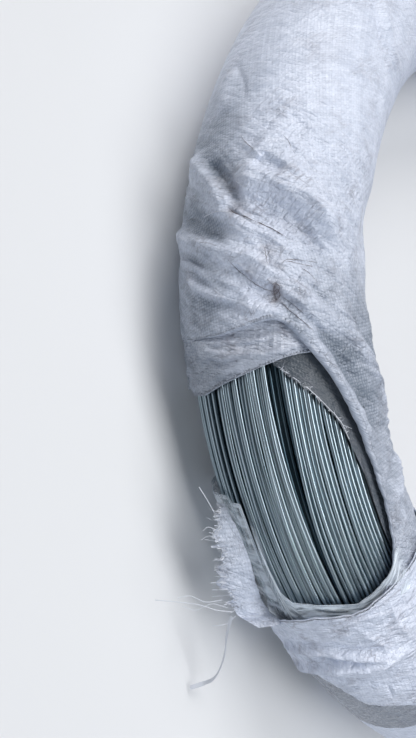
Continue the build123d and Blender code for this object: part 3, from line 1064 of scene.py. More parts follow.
def wire_turns():
    """Two lays of wire where the wrap is open."""
    rng = np.random.default_rng(11)
    parts = []
    for depth, shift, sides, stride in WIRE_LAYS:
        theta = np.arange(WIRE_SPAN[0], WIRE_SPAN[1], stride)
        for number in range(WIRE_COUNT):
            start = WIRE_FIRST + shift + WIRE_STEP * number
            side = start - LAY_GAP
            open_here = LAY_GAP_OPEN * (1 - 0.8 * smooth_ramp(theta, 212, 240)) * math.exp(-abs(side) / 14)
            seed = 40.0 * rng.random()
            steps = np.stack([theta / 9.0, 0 * theta + seed, 0 * theta], -1)
            sway = noise_of(steps, 0.0) * 0.8
            dip = (0.5 + 0.5 * noise_of(steps * 0.6, 7.0)) * 0.5 * MM
            phi = start + math.copysign(1.0, side) * open_here * (1 if depth == 0 else 0.2) + sway
            radius = BUNDLE - WIRE_RADIUS - depth - dip - rng.random() ** 2 * 1.5 * MM
            # the top lay has a random tone; the deeper lay, and below it the outer-side turns, are darkened
            # as painted shade
            tone = 0.1 + 0.8 * rng.random() if depth == 0 else DEEP_SHADE_TONE
            if depth == 0 and start < SPARSE_BELOW:
                tone = SPARSE_SHADE_TONE if number % 2 else 0.4 * tone
                radius = radius - SPARSE_DEPTH * (number % 2)
            path = on_ring(theta, phi, radius, FLOOR_SKIN + WIRE_RADIUS)
            parts.append(tube_part(path, WIRE_RADIUS, sides, tone, number * 0.031))
    return parts


def core_ring():
    """The rest of the coil, which the wrap hides, in the dark tone of painted shade."""
    theta = np.linspace(0, 360, 181)[:, None]
    phi = np.linspace(0, 360, 49)[None, :]
    points = on_ring(theta + 0 * phi, phi + 0 * theta, CORE_RADIUS)
    return grid_part(points, np.radians(theta) * RING + 0 * phi, np.radians(phi) * CORE_RADIUS + 0 * theta,
                     DEEP_SHADE_TONE)


ZINC = wire_material()
wires = dress(build_mesh("wire_turns", wire_turns(), ZINC, weld=False), "wire_coil")
core = dress(build_mesh("wire_core", [core_ring()], ZINC), "wire_coil")

# %% [markdown]
# ## The outer layer over the opening
# This sheet goes right round the bundle above the opening. Its lower edge is a curved lip,
# and on the inner side it runs on past the opening as one thick strap-like fold that leads
# to the lower wrap. So the grid has two parts: whole rings down to the lip, then rows
# that are open on the opening's side and whose first point follows the strap's edge.

# %% Outer layer
OUTER_RADIUS = 51.2 * MM
LIP = [(170, 334), (186, 340), (203, 337.5), (219, 334), (232, 329.5), (245, 324.5), (255, 320.5),
       (264, 317.5), (272, 316.3)]
STRAP_EDGE = [(272, 316.3), (280, 317), (288, 320.5), (299, 331), (312, 347), (329, 369), (344, 394),
              (359, 425), (371, 453), (380, 482), (387, 506), (392, 530), (395, 555), (393, 576), (386, 594)]
EDGE_PIECES = 4
SLEEVE_START = 150.0
SILL_ANGLE = -60.0
SILL_FAR = SILL_ANGLE + 360
STRAP_END = 244.0
# how finely the sleeve is cut round the coil: up to which angle, and the step in degrees
SLEEVE_STEPS = [(184, 0.6), (192, 0.26), (210, 0.13)]
STRAP_ROWS = 156
STRAP_CROWDING = 1.35
WEAVE_MIDDLE = 205.0
WEAVE_LEAN = 12.0
# along the edge, from the lip's left end to the strap's lower end
EDGE_SHARE = [0.0, 0.15, 0.25, 0.36, 0.60, 0.78, 1.0]
EDGE_LIFT = [0.2, 0.5, 1.8, 2.6, 2.4, 1.2, 0.2]
EDGE_ROLL = [0.6, 0.8, 1.6, 2.5, 2.3, 1.2, 0.6]
# painted shade on the rolled edge under the lip and along the strap
HEM_SHADE = 0.6

edge_theta, edge_phi = smooth_angles(LIP + STRAP_EDGE[1:], OUTER_RADIUS, EDGE_PIECES)
corner_at = (len(LIP) - 1) * EDGE_PIECES
lip_theta, lip_phi = edge_theta[:corner_at + 1], edge_phi[:corner_at + 1]
strap_theta, strap_phi = edge_theta[corner_at:], edge_phi[corner_at:]
edge_line = on_ring(edge_theta, edge_phi, OUTER_RADIUS)
print("lip at", np.round(lip_theta, 1), np.round(lip_phi, 1))
print("strap edge at", np.round(strap_theta, 1), np.round(strap_phi, 1))


def outer_points(theta, phi):
    """The outer layer's points, with folds and a lifted edge, its dirt, and how much its painted shade
    deepens in hollows.
    """
    shape = theta.shape
    theta, phi = theta.reshape(-1), phi.reshape(-1)
    plain = on_ring(theta, phi, OUTER_RADIUS)
    calm = 1 - 0.8 * smooth_ramp(theta, 233, 240)
    relief = fold_relief(plain, FOLDS, OUTER_RADIUS) + fine_relief(theta, phi, wrap_zone(theta, phi))
    apart, share, side = line_distance(plain, from_middle(plain), edge_line)
    lift = np.interp(share, EDGE_SHARE, EDGE_LIFT) * MM * np.exp(-(apart / (6 * MM)) ** 2)
    radius = OUTER_RADIUS + (relief + lift) * calm - 0.9 * MM * smooth_ramp(theta, 233, 240)
    # painted shade: more in the relief's hollows, less on its ridges
    close = 1.25 - 0.75 * smooth_ramp(relief, -1.2 * MM, 2.4 * MM)
    points = on_ring(theta, phi, radius)
    return [found.reshape(shape + found.shape[1:]) for found in (points, soil_mask(plain), close)]


def outer_layer():
    """The sleeve and the strap as parts that share their edge points, with rolled free edges."""
    corner = strap_phi[0]
    before = spread(SILL_ANGLE, corner, [(-24, 2.0), (corner, 0.62)])
    after = spread(corner, SILL_FAR, [(112, 0.62), (150, 2.0), (SILL_FAR, 3.6)])
    columns = np.append(before, after[1:])
    first = len(before) - 1
    ends = np.interp(columns, np.concatenate([[SILL_ANGLE], lip_phi, [SILL_FAR]]),
                     np.concatenate([lip_theta[:1], lip_theta, lip_theta[:1]]))
    share = spread(SLEEVE_START, SLEEVE_STEPS[-1][0], SLEEVE_STEPS)[:, None] - SLEEVE_START
    theta = SLEEVE_START + (ends - SLEEVE_START) * share / share[-1]
    phi = columns + 0 * theta
    sleeve, sleeve_soil, sleeve_hollow_shade = outer_points(theta, phi)
    flat = flat_place(theta, phi, WEAVE_MIDDLE, WEAVE_LEAN)
    down = np.linspace(0, 1, STRAP_ROWS)[:, None] ** STRAP_CROWDING
    strap_t = ends[first:] + (STRAP_END - ends[first:]) * down
    side_phi = np.interp(strap_t[:, 0], strap_theta, strap_phi)[:, None]
    keep_far = np.clip((150 - after) / (150 - corner), 0, 1)
    strap_p = after + (side_phi - corner) * keep_far
    strap, strap_soil, strap_hollow_shade = outer_points(strap_t, strap_p)
    strap[0] = sleeve[-1, first:]
    strap_flat = flat_place(strap_t, strap_p, WEAVE_MIDDLE, WEAVE_LEAN)
    edge = np.append(sleeve[-1, :first + 1], strap[1:, 0], axis=0)
    beside = np.append(sleeve[-2, :first + 1], strap[1:, 1], axis=0)
    edge_flat = [np.append(of_sleeve[-1, :first + 1], of_strap[1:, 0])
                 for of_sleeve, of_strap in zip(flat, strap_flat)]
    share_of = line_distance(edge, np.zeros((1, 3)), edge_line)[1]
    roll = np.interp(share_of, EDGE_SHARE, EDGE_ROLL) * MM
    return [
        grid_part(sleeve, flat[0], flat[1], sleeve_soil, 0.45 + 0.55 * smooth_ramp(theta, 186, 198),
                  painted_shade_zone(theta, phi) * sleeve_hollow_shade),
        grid_part(strap, strap_flat[0], strap_flat[1], strap_soil, 1.0,
                  painted_shade_zone(strap_t, strap_p) * strap_hollow_shade),
        rolled_hem(edge, beside, roll, 4 * MM, edge_flat[0], edge_flat[1], HEM_SHADE),
        rolled_hem(strap[:, -1], strap[:, -2], 0.6 * MM, 2 * MM, strap_flat[0][:, -1], strap_flat[1][:, -1]),
        rolled_hem(sleeve[0], sleeve[1], 0.5 * MM, 2 * MM, flat[0][0], flat[1][0]),
    ]


outer = dress(build_mesh("wrap_outer_layer", outer_layer(), CLOTH), "woven_wrap")

# %% [markdown]
# ## Layers under the lip
# Below the lip a second layer shows, with its own folded edge, and beside it a third, greyer one whose cut
# edge has frayed. The second layer is coloured darker than the outer one as painted shade under the lip, and
# the third one's dark grey beside the strap is partly painted shade of the strap. Each starts well under the
# layer above it, lies a little lower, and rises only where it comes out, so no layer cuts through another.

# %% Inner layers
FLAP_EDGE = [(173, 386), (186, 389), (195, 395), (206, 394), (219, 385), (235, 377), (253, 369), (269, 362),
             (284, 356), (299, 352)]
INNER_EDGE = [(262, 352), (275, 364), (297, 380), (312, 392), (338, 418), (349, 439)]
# then on beside the strap: angles round the coil and round the bundle
INNER_LOWER_THETA = [226.0, 238.0]
INNER_LOWER_PHI = [85.6, 86.6]
FLAP_RADIUS = 50.3 * MM
INNER_RADIUS = 48.3 * MM
TAPE_ANGLE = 1.0
SHEET_TUCK = 2.5 * MM


def no_painted_shade(theta, phi):
    """No painted shade: a value of 0 all over a sheet."""
    return 0 * theta


def edged_sheet(name, starts, ends, columns, count, surface, material, middle, lean, roll=0.0, bunch=0.4,
                shade_and_clearness=no_painted_shade):
    """A sheet between two edges, given as angles round the coil for each column."""
    share = np.linspace(0, 1, count)[:, None]
    theta = starts + (ends - starts) * share
    phi = columns + 0 * theta
    radius = surface(theta.reshape(-1), phi.reshape(-1)).reshape(theta.shape)
    points = on_ring(theta, phi, radius)
    flat = flat_place(theta, phi, middle, lean)
    soil = soil_mask(points.reshape(-1, 3)).reshape(theta.shape)
    shade_and_clear_share = shade_and_clearness(theta, phi)
    parts = [grid_part(points, flat[0], flat[1], soil, bunch, shade_and_clear_share)]
    if roll:
        for edge, beside in ((-1, -2), (0, 1)):
            parts.append(rolled_hem(points[edge], points[beside], roll, SHEET_TUCK, flat[0][edge],
                                    flat[1][edge], shade_and_clear_share[edge]))
    return build_mesh(name, parts, material)


def along_edge(pixels, radius, columns):
    """Angles round the coil of a picture edge, for given angles round the bundle."""
    theta, phi = picture_path(pixels, radius)
    order = np.argsort(phi)
    return np.interp(columns, phi[order], theta[order])


def flap_surface(theta, phi):
    """The second layer comes up from under the lip."""
    plain = on_ring(theta, phi, FLAP_RADIUS)
    rise = smooth_ramp(theta, 207.0, 210.5)
    relief = fold_relief(plain, FLAP_FOLDS, FLAP_RADIUS) + fine_relief(theta, phi, 1.2, -8)
    return FLAP_RADIUS - 1.6 * MM * (1 - rise) + np.maximum(relief, -1.2 * MM) * rise


def flap_painted_shade(theta, phi):
    """The flap's painted shade is darkest at its outer lower corner."""
    return 0.9 * (1 - smooth_ramp(phi + 6 * (213.5 - theta), -4, 34))


def inner_surface(theta, phi):
    """The grey third layer lies close on the wire."""
    return INNER_RADIUS + 0.4 * fine_relief(theta, phi, 0.6)


flap_columns = np.arange(-58.0, 66.0, 0.7)
flap = edged_sheet("wrap_second_layer", 205.0 + 0 * flap_columns,
                   along_edge(FLAP_EDGE, FLAP_RADIUS, flap_columns), flap_columns, 60,
                   flap_surface, CLOTH_FLAP_SHADED, WEAVE_MIDDLE, -8.0, 0.8 * MM, 1.0, flap_painted_shade)
dress(flap, "woven_wrap")
# the third layer is grey cloth, and where it runs on beside the strap its dark grey is also painted shade of
# the strap
inner_columns = np.arange(36.0, 100.0, 0.38)
ragged = np.random.default_rng(5).random(110)[(inner_columns / TAPE_ANGLE).astype(int)] * 0.35
inner_theta, inner_phi = picture_path(INNER_EDGE, INNER_RADIUS)
inner_ends = np.interp(inner_columns, np.append(inner_phi, INNER_LOWER_PHI),
                       np.append(inner_theta, INNER_LOWER_THETA)) + ragged
inner = edged_sheet("wrap_third_layer", 206.0 + 0 * inner_columns, inner_ends, inner_columns, 40,
                    inner_surface, CLOTH_INNER, WEAVE_MIDDLE, 3.0)
dress(inner, "woven_wrap")

# %% [markdown]
# ## Below the opening
# The lower wrap comes up over the strap and ends in a puckered edge. Its own lower edge slants
# over a duller layer, and from there one long strip winds round the rest of the coil. The
# strip is a true helix: each turn's free edge lies on the next turn, which is how
# the real wrap shows its laps.

# %% Lower layers and the long strip
LOWER_TOP = [(240, 612), (257, 621), (285, 620), (315, 618), (338, 617), (352, 615), (363, 610), (373, 603),
             (382, 597), (391, 589), (399, 580), (406, 570), (414, 558)]
LOWER_RADIUS = 52.3 * MM
PUCKER_AWAY = 11 * MM
PUCKER_WIDTH = 4.5 * MM
SECOND_LOWER_RADIUS = 50.7 * MM
# the two lower free edges: angles round the bundle and round the coil
LOWER_END_PHI = [-60, -1, 5, 15.5, 25, 38, 50, 93, 180, 270, 300]
LOWER_END_THETA = [243.4, 245.0, 246.0, 247.7, 249.9, 250.7, 252.0, 253.0, 252.0, 247.0, 243.4]
DULL_END_PHI = [-60, -8, 13, 41, 93, 180, 300]
DULL_END_THETA = [256.0, 256.2, 255.4, 255.4, 255.8, 257.0, 256.0]
STRIP_WIDTH = 100 * MM
STRIP_TURNS = 20
STRIP_FIRST = 258.3
STRIP_LAST = 516.0
STRIP_RADIUS = 50.4 * MM
STRIP_RISE = 1.2 * MM
STRIP_STEP = 3.5
STRIP_COLUMNS = 21


def lower_surface(theta, phi):
    """Puckers gather under the upper edge of the lower wrap."""
    plain = on_ring(theta, phi, LOWER_RADIUS)
    edge = np.interp(phi, lower_columns, lower_start)
    away = (theta - edge) * math.pi / 180 * RING
    lift = 0.4 * MM * np.exp(-(away / (4 * MM)) ** 2)
    gathers = noise_of(np.stack([theta / 0.42, np.radians(phi) * WRAP / (8 * MM), 0 * theta], -1), 31.0)
    band = np.exp(-((away - PUCKER_AWAY) / PUCKER_WIDTH) ** 2)
    relief = fold_relief(plain, LOWER_FOLDS, LOWER_RADIUS) + fine_relief(theta, phi, 0.8, -12)
    relief += 1.1 * MM * band * gathers
    return LOWER_RADIUS + lift + np.maximum(relief, -1.2 * MM)


def second_lower_surface(theta, phi):
    """The duller layer between the lower wrap and the strip."""
    return SECOND_LOWER_RADIUS + 0.5 * np.clip(fine_relief(theta, phi, 1.0, -30), -0.5 * MM, 0.7 * MM)


lower_columns = np.concatenate([np.arange(SILL_ANGLE, 112, 0.7), spread(112.0, SILL_FAR, [(SILL_FAR, 3.6)])])
lower_start = along_edge(LOWER_TOP, LOWER_RADIUS, lower_columns)
lower_start += 0.12 * noise_of(np.stack([lower_columns / 6, 0 * lower_columns, 0 * lower_columns], -1), 2.0)
lower_end = np.interp(lower_columns, LOWER_END_PHI, LOWER_END_THETA)
lower = edged_sheet("wrap_lower_layer", lower_start, lower_end, lower_columns, 84,
                    lower_surface, CLOTH_LOWER, 245.0, -10.0, 0.5 * MM, 0.9)
dress(lower, "woven_wrap")
below_columns = spread(SILL_ANGLE, SILL_FAR, [(112, 1.2), (SILL_FAR, 4.0)])
below_end = np.interp(below_columns, DULL_END_PHI, DULL_END_THETA)
below = edged_sheet("wrap_dull_layer", 242.0 + 0 * below_columns, below_end, below_columns, 50,
                    second_lower_surface, CLOTH_UNDER, 250.0, 6.0, 0.6 * MM, 1.0)
dress(below, "woven_wrap")


def long_strip():
    """One strip of cloth that winds round the rest of the coil as a helix."""
    turned = np.arange(0, STRIP_TURNS * 360, STRIP_STEP)[:, None]
    across = np.linspace(-0.5, 0.5, STRIP_COLUMNS)[None, :]
    phi = turned - 60 + 0 * across
    middle = STRIP_FIRST + (STRIP_LAST - STRIP_FIRST) * turned / turned[-1]
    room = RING + STRIP_RADIUS * np.cos(np.radians(phi))
    place = turned[:, 0] / 90
    uneven = noise_of(np.stack([place, 0 * place, 0 * place], -1), 4.0)[:, None] * 3 * MM
    offset = across * STRIP_WIDTH + uneven * across * 2
    theta = middle + np.degrees(offset / room)
    rise = STRIP_RISE * (across + 0.5)
    relief = fine_relief(theta.reshape(-1), phi.reshape(-1), 0.22).reshape(theta.shape) * 0.7
    sag = 1.1 * MM * smooth_ramp(theta, 499, 509)
    tuck = 0.8 * MM * (1 - smooth_ramp(theta, 254.5, 258.0))
    points = on_ring(theta, phi, STRIP_RADIUS + rise + relief - sag - tuck)
    flat_u = offset
    flat_v = np.radians(turned) * STRIP_RADIUS + 0 * across
    hem = rolled_hem(points[:, -1], points[:, -2], 0.7 * MM, 1.5 * MM, flat_u[:, -1], flat_v[:, -1])
    return [grid_part(points, flat_u, flat_v, 0.0), hem]


strip = dress(build_mesh("wrap_long_strip", long_strip(), CLOTH), "woven_wrap")

# %% [markdown]
# ## Film
# The clear film under the cloth shows as a crumpled rim along the opening's lower edge. It is
# milky where it is creased and nearly clear where it lies flat, so its opacity follows the
# same noise as its gathers.

# %% Film
FILM_TOP = [(218, 492), (226, 496), (241, 504), (249, 520), (258, 544), (262, 556), (264, 566), (270, 580),
            (281, 593), (293, 601), (308, 602), (338, 605), (358, 603), (370, 595), (379, 586), (384, 574),
            (387, 560), (388, 548), (392, 543), (403, 543), (414, 548)]
FILM_RADIUS = 48.6 * MM
FILM_END = 243.0
FILM_ROWS = 72
FILM_OVER_STRAP = 3.6 * MM


def film_material():
    """Thin clear film, milky along its creases."""
    material = bpy.data.materials.new("clear film")
    material.use_nodes = True
    tree = material.node_tree
    shader = tree.nodes["Principled BSDF"]
    flat = flat_vector(tree)
    split = tree.nodes.new("ShaderNodeSeparateXYZ")
    tree.links.new(flat, split.inputs["Vector"])
    across = tree.nodes.new("ShaderNodeCombineXYZ")
    tree.links.new(attribute_of(tree, "bunch").outputs["Fac"], across.inputs["X"])
    tree.links.new(split.outputs["Y"], across.inputs["Y"])
    crease = scaled_noise(tree, across.outputs["Vector"], 1.0, 6, (9.0, 45.0, 1))
    ridge = maths(tree, "ABSOLUTE", maths(tree, "SUBTRACT", crease, 0.5))
    ridge = maths(tree, "SUBTRACT", 1.0, maths(tree, "MULTIPLY", ridge, 9.0))
    milky = maths(tree, "MAXIMUM", ridge, 0.0)
    haze = scaled_noise(tree, flat, 60.0, 4)
    cover = maths(tree, "MULTIPLY_ADD", milky, 0.60, maths(tree, "MULTIPLY_ADD", haze, 0.30, 0.14))
    clear = maths(tree, "SUBTRACT", 1.0, attribute_of(tree, "shade_and_clearness").outputs["Fac"])
    tree.links.new(maths(tree, "MULTIPLY", cover, clear), shader.inputs["Alpha"])
    shader.inputs["Base Color"].default_value = (0.83, 0.91, 1.0, 1)
    shader.inputs["Roughness"].default_value = 0.16
    shader.inputs["Coat Weight"].default_value = 0.4
    bump = tree.nodes.new("ShaderNodeBump")
    bump.inputs["Strength"].default_value = 0.8
    bump.inputs["Distance"].default_value = 0.5 * MM
    tree.links.new(crease, bump.inputs["Height"])
    tree.links.new(bump.outputs["Normal"], shader.inputs["Normal"])
    return material


def film_reach(theta, phi):
    """How far into the film a point lies: 0 on its free edge, 1 on its far edge."""
    start = np.interp(phi, film_columns, film_start)
    return (theta - start) / (FILM_END - start)


def film_surface(theta, phi):
    """Gathers that run along the film's edge and fan out where it widens."""
    reach = film_reach(theta, phi)
    around = np.radians(phi) * FILM_RADIUS / 0.022
    broad = (1 - np.abs(noise_of(np.stack([reach * 3.5, around, 0 * reach], -1), 9.0))) ** 3
    narrow = (1 - np.abs(noise_of(np.stack([reach * 11, around * 1.6, 0 * reach], -1), 4.0))) ** 3
    small = noise_of(np.stack([reach * 26, around * 4, 0 * reach], -1), 14.0)
    over = FILM_OVER_STRAP * smooth_ramp(phi, 66, 80) * (1 - smooth_ramp(theta, 239.2, 240.4))
    wide = 1 + 0.9 * (1 - smooth_ramp(phi, 18, 42))
    return FILM_RADIUS + ((0.8 * broad + 0.5 * narrow) * wide - 0.3 + 0.05 * small) * MM + over


def film_thin(theta, phi):
    """The film is clearest along its free edge, over the strap and beside the frayed edge."""
    in_from_edge = theta - np.interp(phi, film_columns, film_start)
    over_strap = smooth_ramp(phi, 80, 90)
    edge = 0.25 * (1 - smooth_ramp(in_from_edge, 0.0, 1.3))
    outer_side = 0.35 * (1 - smooth_ramp(phi, 8, 22))
    return np.maximum(edge, np.maximum(over_strap, outer_side))


FILM = film_material()
film_columns = np.arange(-58.0, 122.0, 0.55)
film_start = along_edge(FILM_TOP, FILM_RADIUS, film_columns)
film_across = np.linspace(0, 1, FILM_ROWS)[:, None]
film = edged_sheet("film_sheet", film_start, FILM_END + 0 * film_columns, film_columns, FILM_ROWS,
                   film_surface, FILM, 230.0, 0.0, 0.2 * MM, film_across, film_thin)
dress(film, "liner_film")

# %% [markdown]
# ## Frayed edge
# On the outer side the cut cloth of the lower wrap stands up along the opening. Tapes have
# come out of its edge, and long threads and one flat tape hang from it. These are
# small, but they are the first thing the eye finds, and they say at once that this cloth
# is woven from flat tapes.

# %% Frayed flap, tapes and threads
FRAY_OUTER = [(217, 503), (214, 520), (213, 545), (213, 565), (216, 585), (224, 603), (240, 617), (259, 628)]
FRAY_INNER = [(224, 503), (233, 520), (243, 541), (250, 560), (255, 580), (261, 598), (270, 613), (284, 622)]
FRAY_ROWS = 80
FRINGE_COUNT = 420
FRINGE_LAST_ROW = 62
INNER_FIBRE_COUNT = 70
FRAY_COLUMNS = 18
FRAY_RADIUS = 51.4 * MM
FRAY_DROOP = 5 * MM
FRAY_ARCH = 1.5 * MM
# Loose ends: picture points, heights above the floor in mm, width or radius in mm
TAPE_STUBS = [
    ([(227, 577), (220, 577), (215, 576.5)], [41, 41, 40.5], 1.7),
    ([(227, 583), (218, 583), (210.5, 583)], [41, 41, 40], 2.1),
    ([(228, 589), (219, 590), (212, 590)], [40, 40, 39], 1.9),
    ([(230, 595), (221, 596), (212.5, 597)], [40, 39, 38.5], 2.1),
    ([(231, 601), (223, 602), (216, 603)], [40, 39, 38], 1.5),
    ([(221, 512), (214, 511), (209, 509)], [42, 43, 44], 1.4),
    ([(220, 519), (212, 520), (207, 518)], [42, 41, 42], 1.8),
    ([(219, 533), (214, 531), (212, 534)], [42, 42, 42], 0.8),
]
HANGING_TAPE = [(231, 616), (226, 637), (224, 655), (219, 670), (213, 679), (205, 683), (190, 688)]
HANGING_HEIGHTS = [37, 32, 26, 20, 15, 9, 3]
THREADS = [
    ([(214, 512), (206, 498), (199, 487)], [44, 48, 46], 0.22),
    ([(232, 612), (216, 610), (200, 605), (178, 602), (155, 600)], [38, 38, 36, 31, 26], 0.22),
    ([(222, 600), (206, 602), (190, 596), (178, 598)], [39, 38, 38, 36], 0.18),
    ([(216, 530), (208, 527), (203, 531)], [42, 42, 40], 0.16),
    ([(236, 616), (226, 624), (212, 626)], [38, 34, 30], 0.2),
    ([(228, 608), (212, 604), (196, 610), (182, 606)], [38, 38, 35, 33], 0.16),
    ([(218, 540), (209, 536), (201, 540)], [42, 42, 39], 0.14),
]
LOOSE_FIBRES = [
    ([(202, 216), (214, 213), (232, 214)], 0.16),
    ([(238, 183), (246, 190), (252, 186)], 0.14),
    ([(262, 252), (270, 259), (266, 268)], 0.14),
]
# Dirty fibres caught in the creases: picture points and radius in mm
DIRTY_FIBRES = [
    ([(227, 207), (236, 213.5), (253, 220), (266, 225.5), (279, 232), (293, 240.5)], 0.20),
    ([(229, 211), (243, 215.5), (254, 221.5)], 0.14),
    ([(262, 224), (274, 229), (284, 236)], 0.12),
    ([(281, 260.5), (291, 262.5), (304, 264), (323, 267.5)], 0.18),
    ([(280, 267.5), (286, 260), (296, 259.5), (312, 260.5), (321, 262)], 0.15),
    ([(264.5, 246), (266, 256), (269, 269)], 0.16),
    ([(271, 248), (266, 259)], 0.12),
    ([(228.5, 258.5), (236, 268.5), (250, 280), (263, 288), (272, 291)], 0.16),
    ([(278, 299.5), (289, 310), (301, 322), (314, 335)], 0.13),
    ([(281, 296), (294, 306), (304, 316)], 0.11),
    ([(239, 131.5), (244, 140.5), (253, 149.5), (255.5, 157)], 0.14),
    ([(282.5, 134), (289, 143), (296.5, 158.5)], 0.11),
    ([(270, 287), (275, 284), (279, 288), (277, 293), (273, 294), (271, 290)], 0.16),
    ([(272, 294), (277, 290), (280, 295), (276, 299), (273, 296)], 0.15),
    ([(275, 284), (274, 292), (277, 301)], 0.15),
    ([(203, 244), (214, 245), (224, 250)], 0.10),
    ([(299, 268), (309, 274), (316, 280)], 0.10),
]
FIBRE_LIFT = 0.12 * MM


def on_level(px, py, level):
    """Where the sight line of a picture point comes down to a height."""
    ray = sight_ray(px, py)
    return np.array(CAMERA_PLACE) + ray * (level - CAMERA_PLACE[2]) / ray[2]


def free_line(pixels, levels, pieces=8):
    """A smooth line through picture points, each at a height in mm above the floor."""
    heights = np.interp(np.linspace(0, 1, len(pixels)), np.linspace(0, 1, len(levels)), levels)
    points = np.array([on_level(px, py, height * MM) for (px, py), height in zip(pixels, heights)])
    fine = np.linspace(0, len(points) - 1, (len(points) - 1) * pieces + 1)
    return np.stack([catmull(points[:, axis], fine) for axis in range(3)], axis=-1)


def fibre_line(pixels):
    """A smooth line that lies on the outer layer, folds and all."""
    theta, phi = smooth_angles(pixels, WRAP, 10)
    points = outer_points(theta, phi)[0]
    return points + from_middle(points) * FIBRE_LIFT + wobble_of(points, 3 * MM, 0.3 * MM)


def ribbon_part(path, width, twist=0.0):
    """A flat tape along a line, slightly cupped, turned about its line by twist degrees at its end."""
    tangent = unit(np.gradient(path, axis=0))
    normal = from_middle(path)
    side = unit(np.cross(tangent, normal))
    turn = np.radians(twist) * np.linspace(0, 1, len(path))[:, None]
    lying = side * np.cos(turn) + np.cross(tangent, side) * np.sin(turn)
    across = np.linspace(-0.5, 0.5, 5)
    points = path[:, None] + lying[:, None] * (across * width)[None, :, None]
    points = points - normal[:, None] * (across**2 * width * 0.5)[None, :, None]
    points[..., 2] = np.maximum(points[..., 2], FLOOR_SKIN)
    along = np.concatenate([[0], np.cumsum(np.linalg.norm(np.diff(path, axis=0), axis=1))])
    flat_v = (across * width)[None, :] + 0 * along[:, None]
    return grid_part(points, along[:, None] + 0 * across, flat_v, 0.0)


def tape_material(name, colour):
    """One loose tape or thread: white plastic with fine streaks along it."""
    material = bpy.data.materials.new(name)
    material.use_nodes = True
    tree = material.node_tree
    shader = tree.nodes["Principled BSDF"]
    streak = scaled_noise(tree, flat_vector(tree), 300.0, 3, (0.2, 4, 1))
    dim = tuple(0.75 * c for c in colour[:3]) + (1,)
    tree.links.new(mix_colours(tree, streak, dim, colour), shader.inputs["Base Color"])
    shader.inputs["Roughness"].default_value = 0.42
    return material


def frayed_flap():
    """The cut edge, which stands out from the coil nearly level, as a grid between two picture lines."""
    down = np.linspace(0, 1, FRAY_ROWS)
    knots = np.linspace(0, 1, len(FRAY_OUTER))
    outer_px = [np.interp(down, knots, [spot[axis] for spot in FRAY_OUTER]) for axis in range(2)]
    inner_px = [np.interp(down, knots, [spot[axis] for spot in FRAY_INNER]) for axis in range(2)]
    uneven = np.random.default_rng(8)
    tape_of_row = np.cumsum(uneven.random(FRAY_ROWS) < 0.38)
    notch = 0.08 * uneven.random(FRAY_ROWS) + 0.24 * uneven.random(FRAY_ROWS)[tape_of_row] ** 2
    notch = notch * (1 - smooth_ramp(down, 0.70, 0.84))
    rows = []
    for row in range(FRAY_ROWS):
        root = on_ring(*on_coil(inner_px[0][row], inner_px[1][row], FRAY_RADIUS))
        tip = on_level(outer_px[0][row], outer_px[1][row], root[2] - FRAY_DROOP)
        share = np.linspace(1 - notch[row], 0, FRAY_COLUMNS)[:, None]
        rows.append(root + (tip - root) * share + np.array([0, 0, 1]) * FRAY_ARCH * np.sin(math.pi * share))
    points = np.array(rows)
    bump = noise_of(points.reshape(-1, 3) / 0.007, 1.0) + 0.5 * noise_of(points.reshape(-1, 3) / 0.0025, 6.0)
    points = points + np.array([0, 0, 1]) * (bump.reshape(points.shape[:2]) * 0.8 * MM)[..., None]
    along = down[:, None] * 58 * MM + np.zeros((1, FRAY_COLUMNS))
    across = np.linspace(0, 1, FRAY_COLUMNS)[None, :] * 16 * MM + 0 * down[:, None]
    print("frayed edge heights in mm", np.round(points[:, 0, 2] * 1000, 0)[::10])
    return points, along, across


def fringe():
    """Short tape ends of many lengths that stick out of the frayed edge."""
    rng = np.random.default_rng(21)
    parts = []
    for row in rng.integers(1, FRINGE_LAST_ROW, FRINGE_COUNT):
        root = fray_points[row, rng.integers(1, 4)]
        outward = unit(fray_points[row, 0] - fray_points[row, 3])
        along = unit(fray_points[row + 1, 0] - fray_points[row - 1, 0])
        clump = 0.5 + 0.5 * noise.noise((row / 7, 3.3, 0.0))
        lean = outward + along * rng.normal(0, 0.6) + np.array([0, 0, 1]) * rng.normal(0.1, 0.35)
        reach = np.linspace(0, 1, 7)[:, None] * (0.6 + 4.0 * rng.random() ** 3 * clump + 1.3 * clump) * MM
        curl = np.array([0, 0, -1]) * reach**2 / (7 * MM) * rng.normal(0.3, 0.8)
        bend = along * reach**2 / (6 * MM) * rng.normal(0, 0.5)
        width = (0.12 + 0.5 * rng.random() ** 2) * MM
        parts.append(ribbon_part(root + lean * reach + curl + bend, width, rng.normal(0, 60)))
    return parts


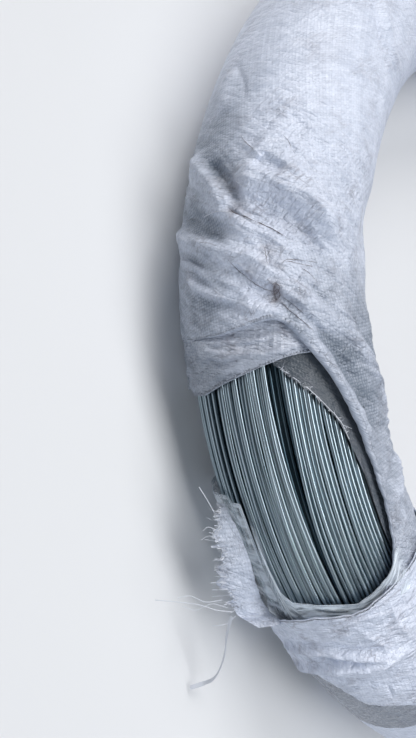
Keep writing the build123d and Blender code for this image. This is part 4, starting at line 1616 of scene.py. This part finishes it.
def inner_fibres():
    """A pale tape along the third layer's cut edge, and short fibres that stick out of it."""
    rng = np.random.default_rng(33)
    theta, phi = smooth_angles(INNER_EDGE, INNER_RADIUS)
    edge = on_ring(theta, phi, INNER_RADIUS + FIBRE_LIFT)
    edge = edge + wobble_of(edge, 2.5 * MM, 0.3 * MM)
    parts = [ribbon_part(edge, 0.32 * MM)]
    for place in rng.integers(1, len(edge) - 1, INNER_FIBRE_COUNT):
        along = unit(edge[place + 1] - edge[place - 1])
        down = unit(np.cross(from_middle(edge[place]), along))
        lean = down * rng.normal(0.1, 0.6) + along * rng.normal(0, 0.8) + from_middle(edge[place]) * 0.15
        reach = np.linspace(0, 1, 6)[:, None] * (0.8 + 3.2 * rng.random() ** 2) * MM
        width = (0.10 + 0.18 * rng.random()) * MM
        parts.append(ribbon_part(edge[place] + lean * reach, width, rng.normal(0, 40)))
    return parts


TAPE = tape_material("loose tape", (0.70, 0.73, 0.80, 1))
fray_points, fray_u, fray_v = frayed_flap()
# the frayed edge is darkened most at its first row and less towards its last
fray_darkening = np.linspace(0.85, 0.05, FRAY_ROWS)[:, None]
fray_part = grid_part(fray_points, fray_u, fray_v, 0.0, 1.0, fray_darkening)
fray = dress(build_mesh("wrap_frayed_edge", [fray_part], CLOTH), "woven_wrap")
stub_parts = [ribbon_part(free_line(pixels, levels), width * MM, 8) for pixels, levels, width in TAPE_STUBS]
stub_parts += fringe() + inner_fibres()
stub_parts.append(ribbon_part(free_line(HANGING_TAPE, HANGING_HEIGHTS), 2.2 * MM, 70))
stubs = dress(build_mesh("wrap_loose_tapes", stub_parts, TAPE), "woven_wrap")
thread_parts = [tube_part(free_line(pixels, levels), radius * MM, 6) for pixels, levels, radius in THREADS]
thread_parts += [tube_part(fibre_line(pixels), radius * MM, 6) for pixels, radius in LOOSE_FIBRES]
threads = dress(build_mesh("wrap_threads", thread_parts, TAPE), "woven_wrap")
DIRTY = tape_material("dirty fibre", (0.13, 0.105, 0.11, 1))
dirty_parts = []
for pixels, radius in DIRTY_FIBRES:
    line = fibre_line(pixels)
    share = np.linspace(0, 1, len(line))
    patchy = 0.6 + 0.7 * noise_of(line / (4 * MM), 2.0)
    ends = smooth_ramp(share, -0.02, 0.2) * smooth_ramp(1 - share, -0.02, 0.3)
    size = radius * MM * np.clip(patchy, 0.15, 1) * ends
    dirty_parts.append(tube_part(line, size, 6))
dirty = dress(build_mesh("wrap_dirty_fibres", dirty_parts, DIRTY), "woven_wrap")

# %% [markdown]
# ## What each sheet is
# The flat size and area of each layer are printed.

declare(outer)
declare(flap)
declare(inner)
declare(lower)
declare(below)
declare(strip)
declare(film)
declare(fray)
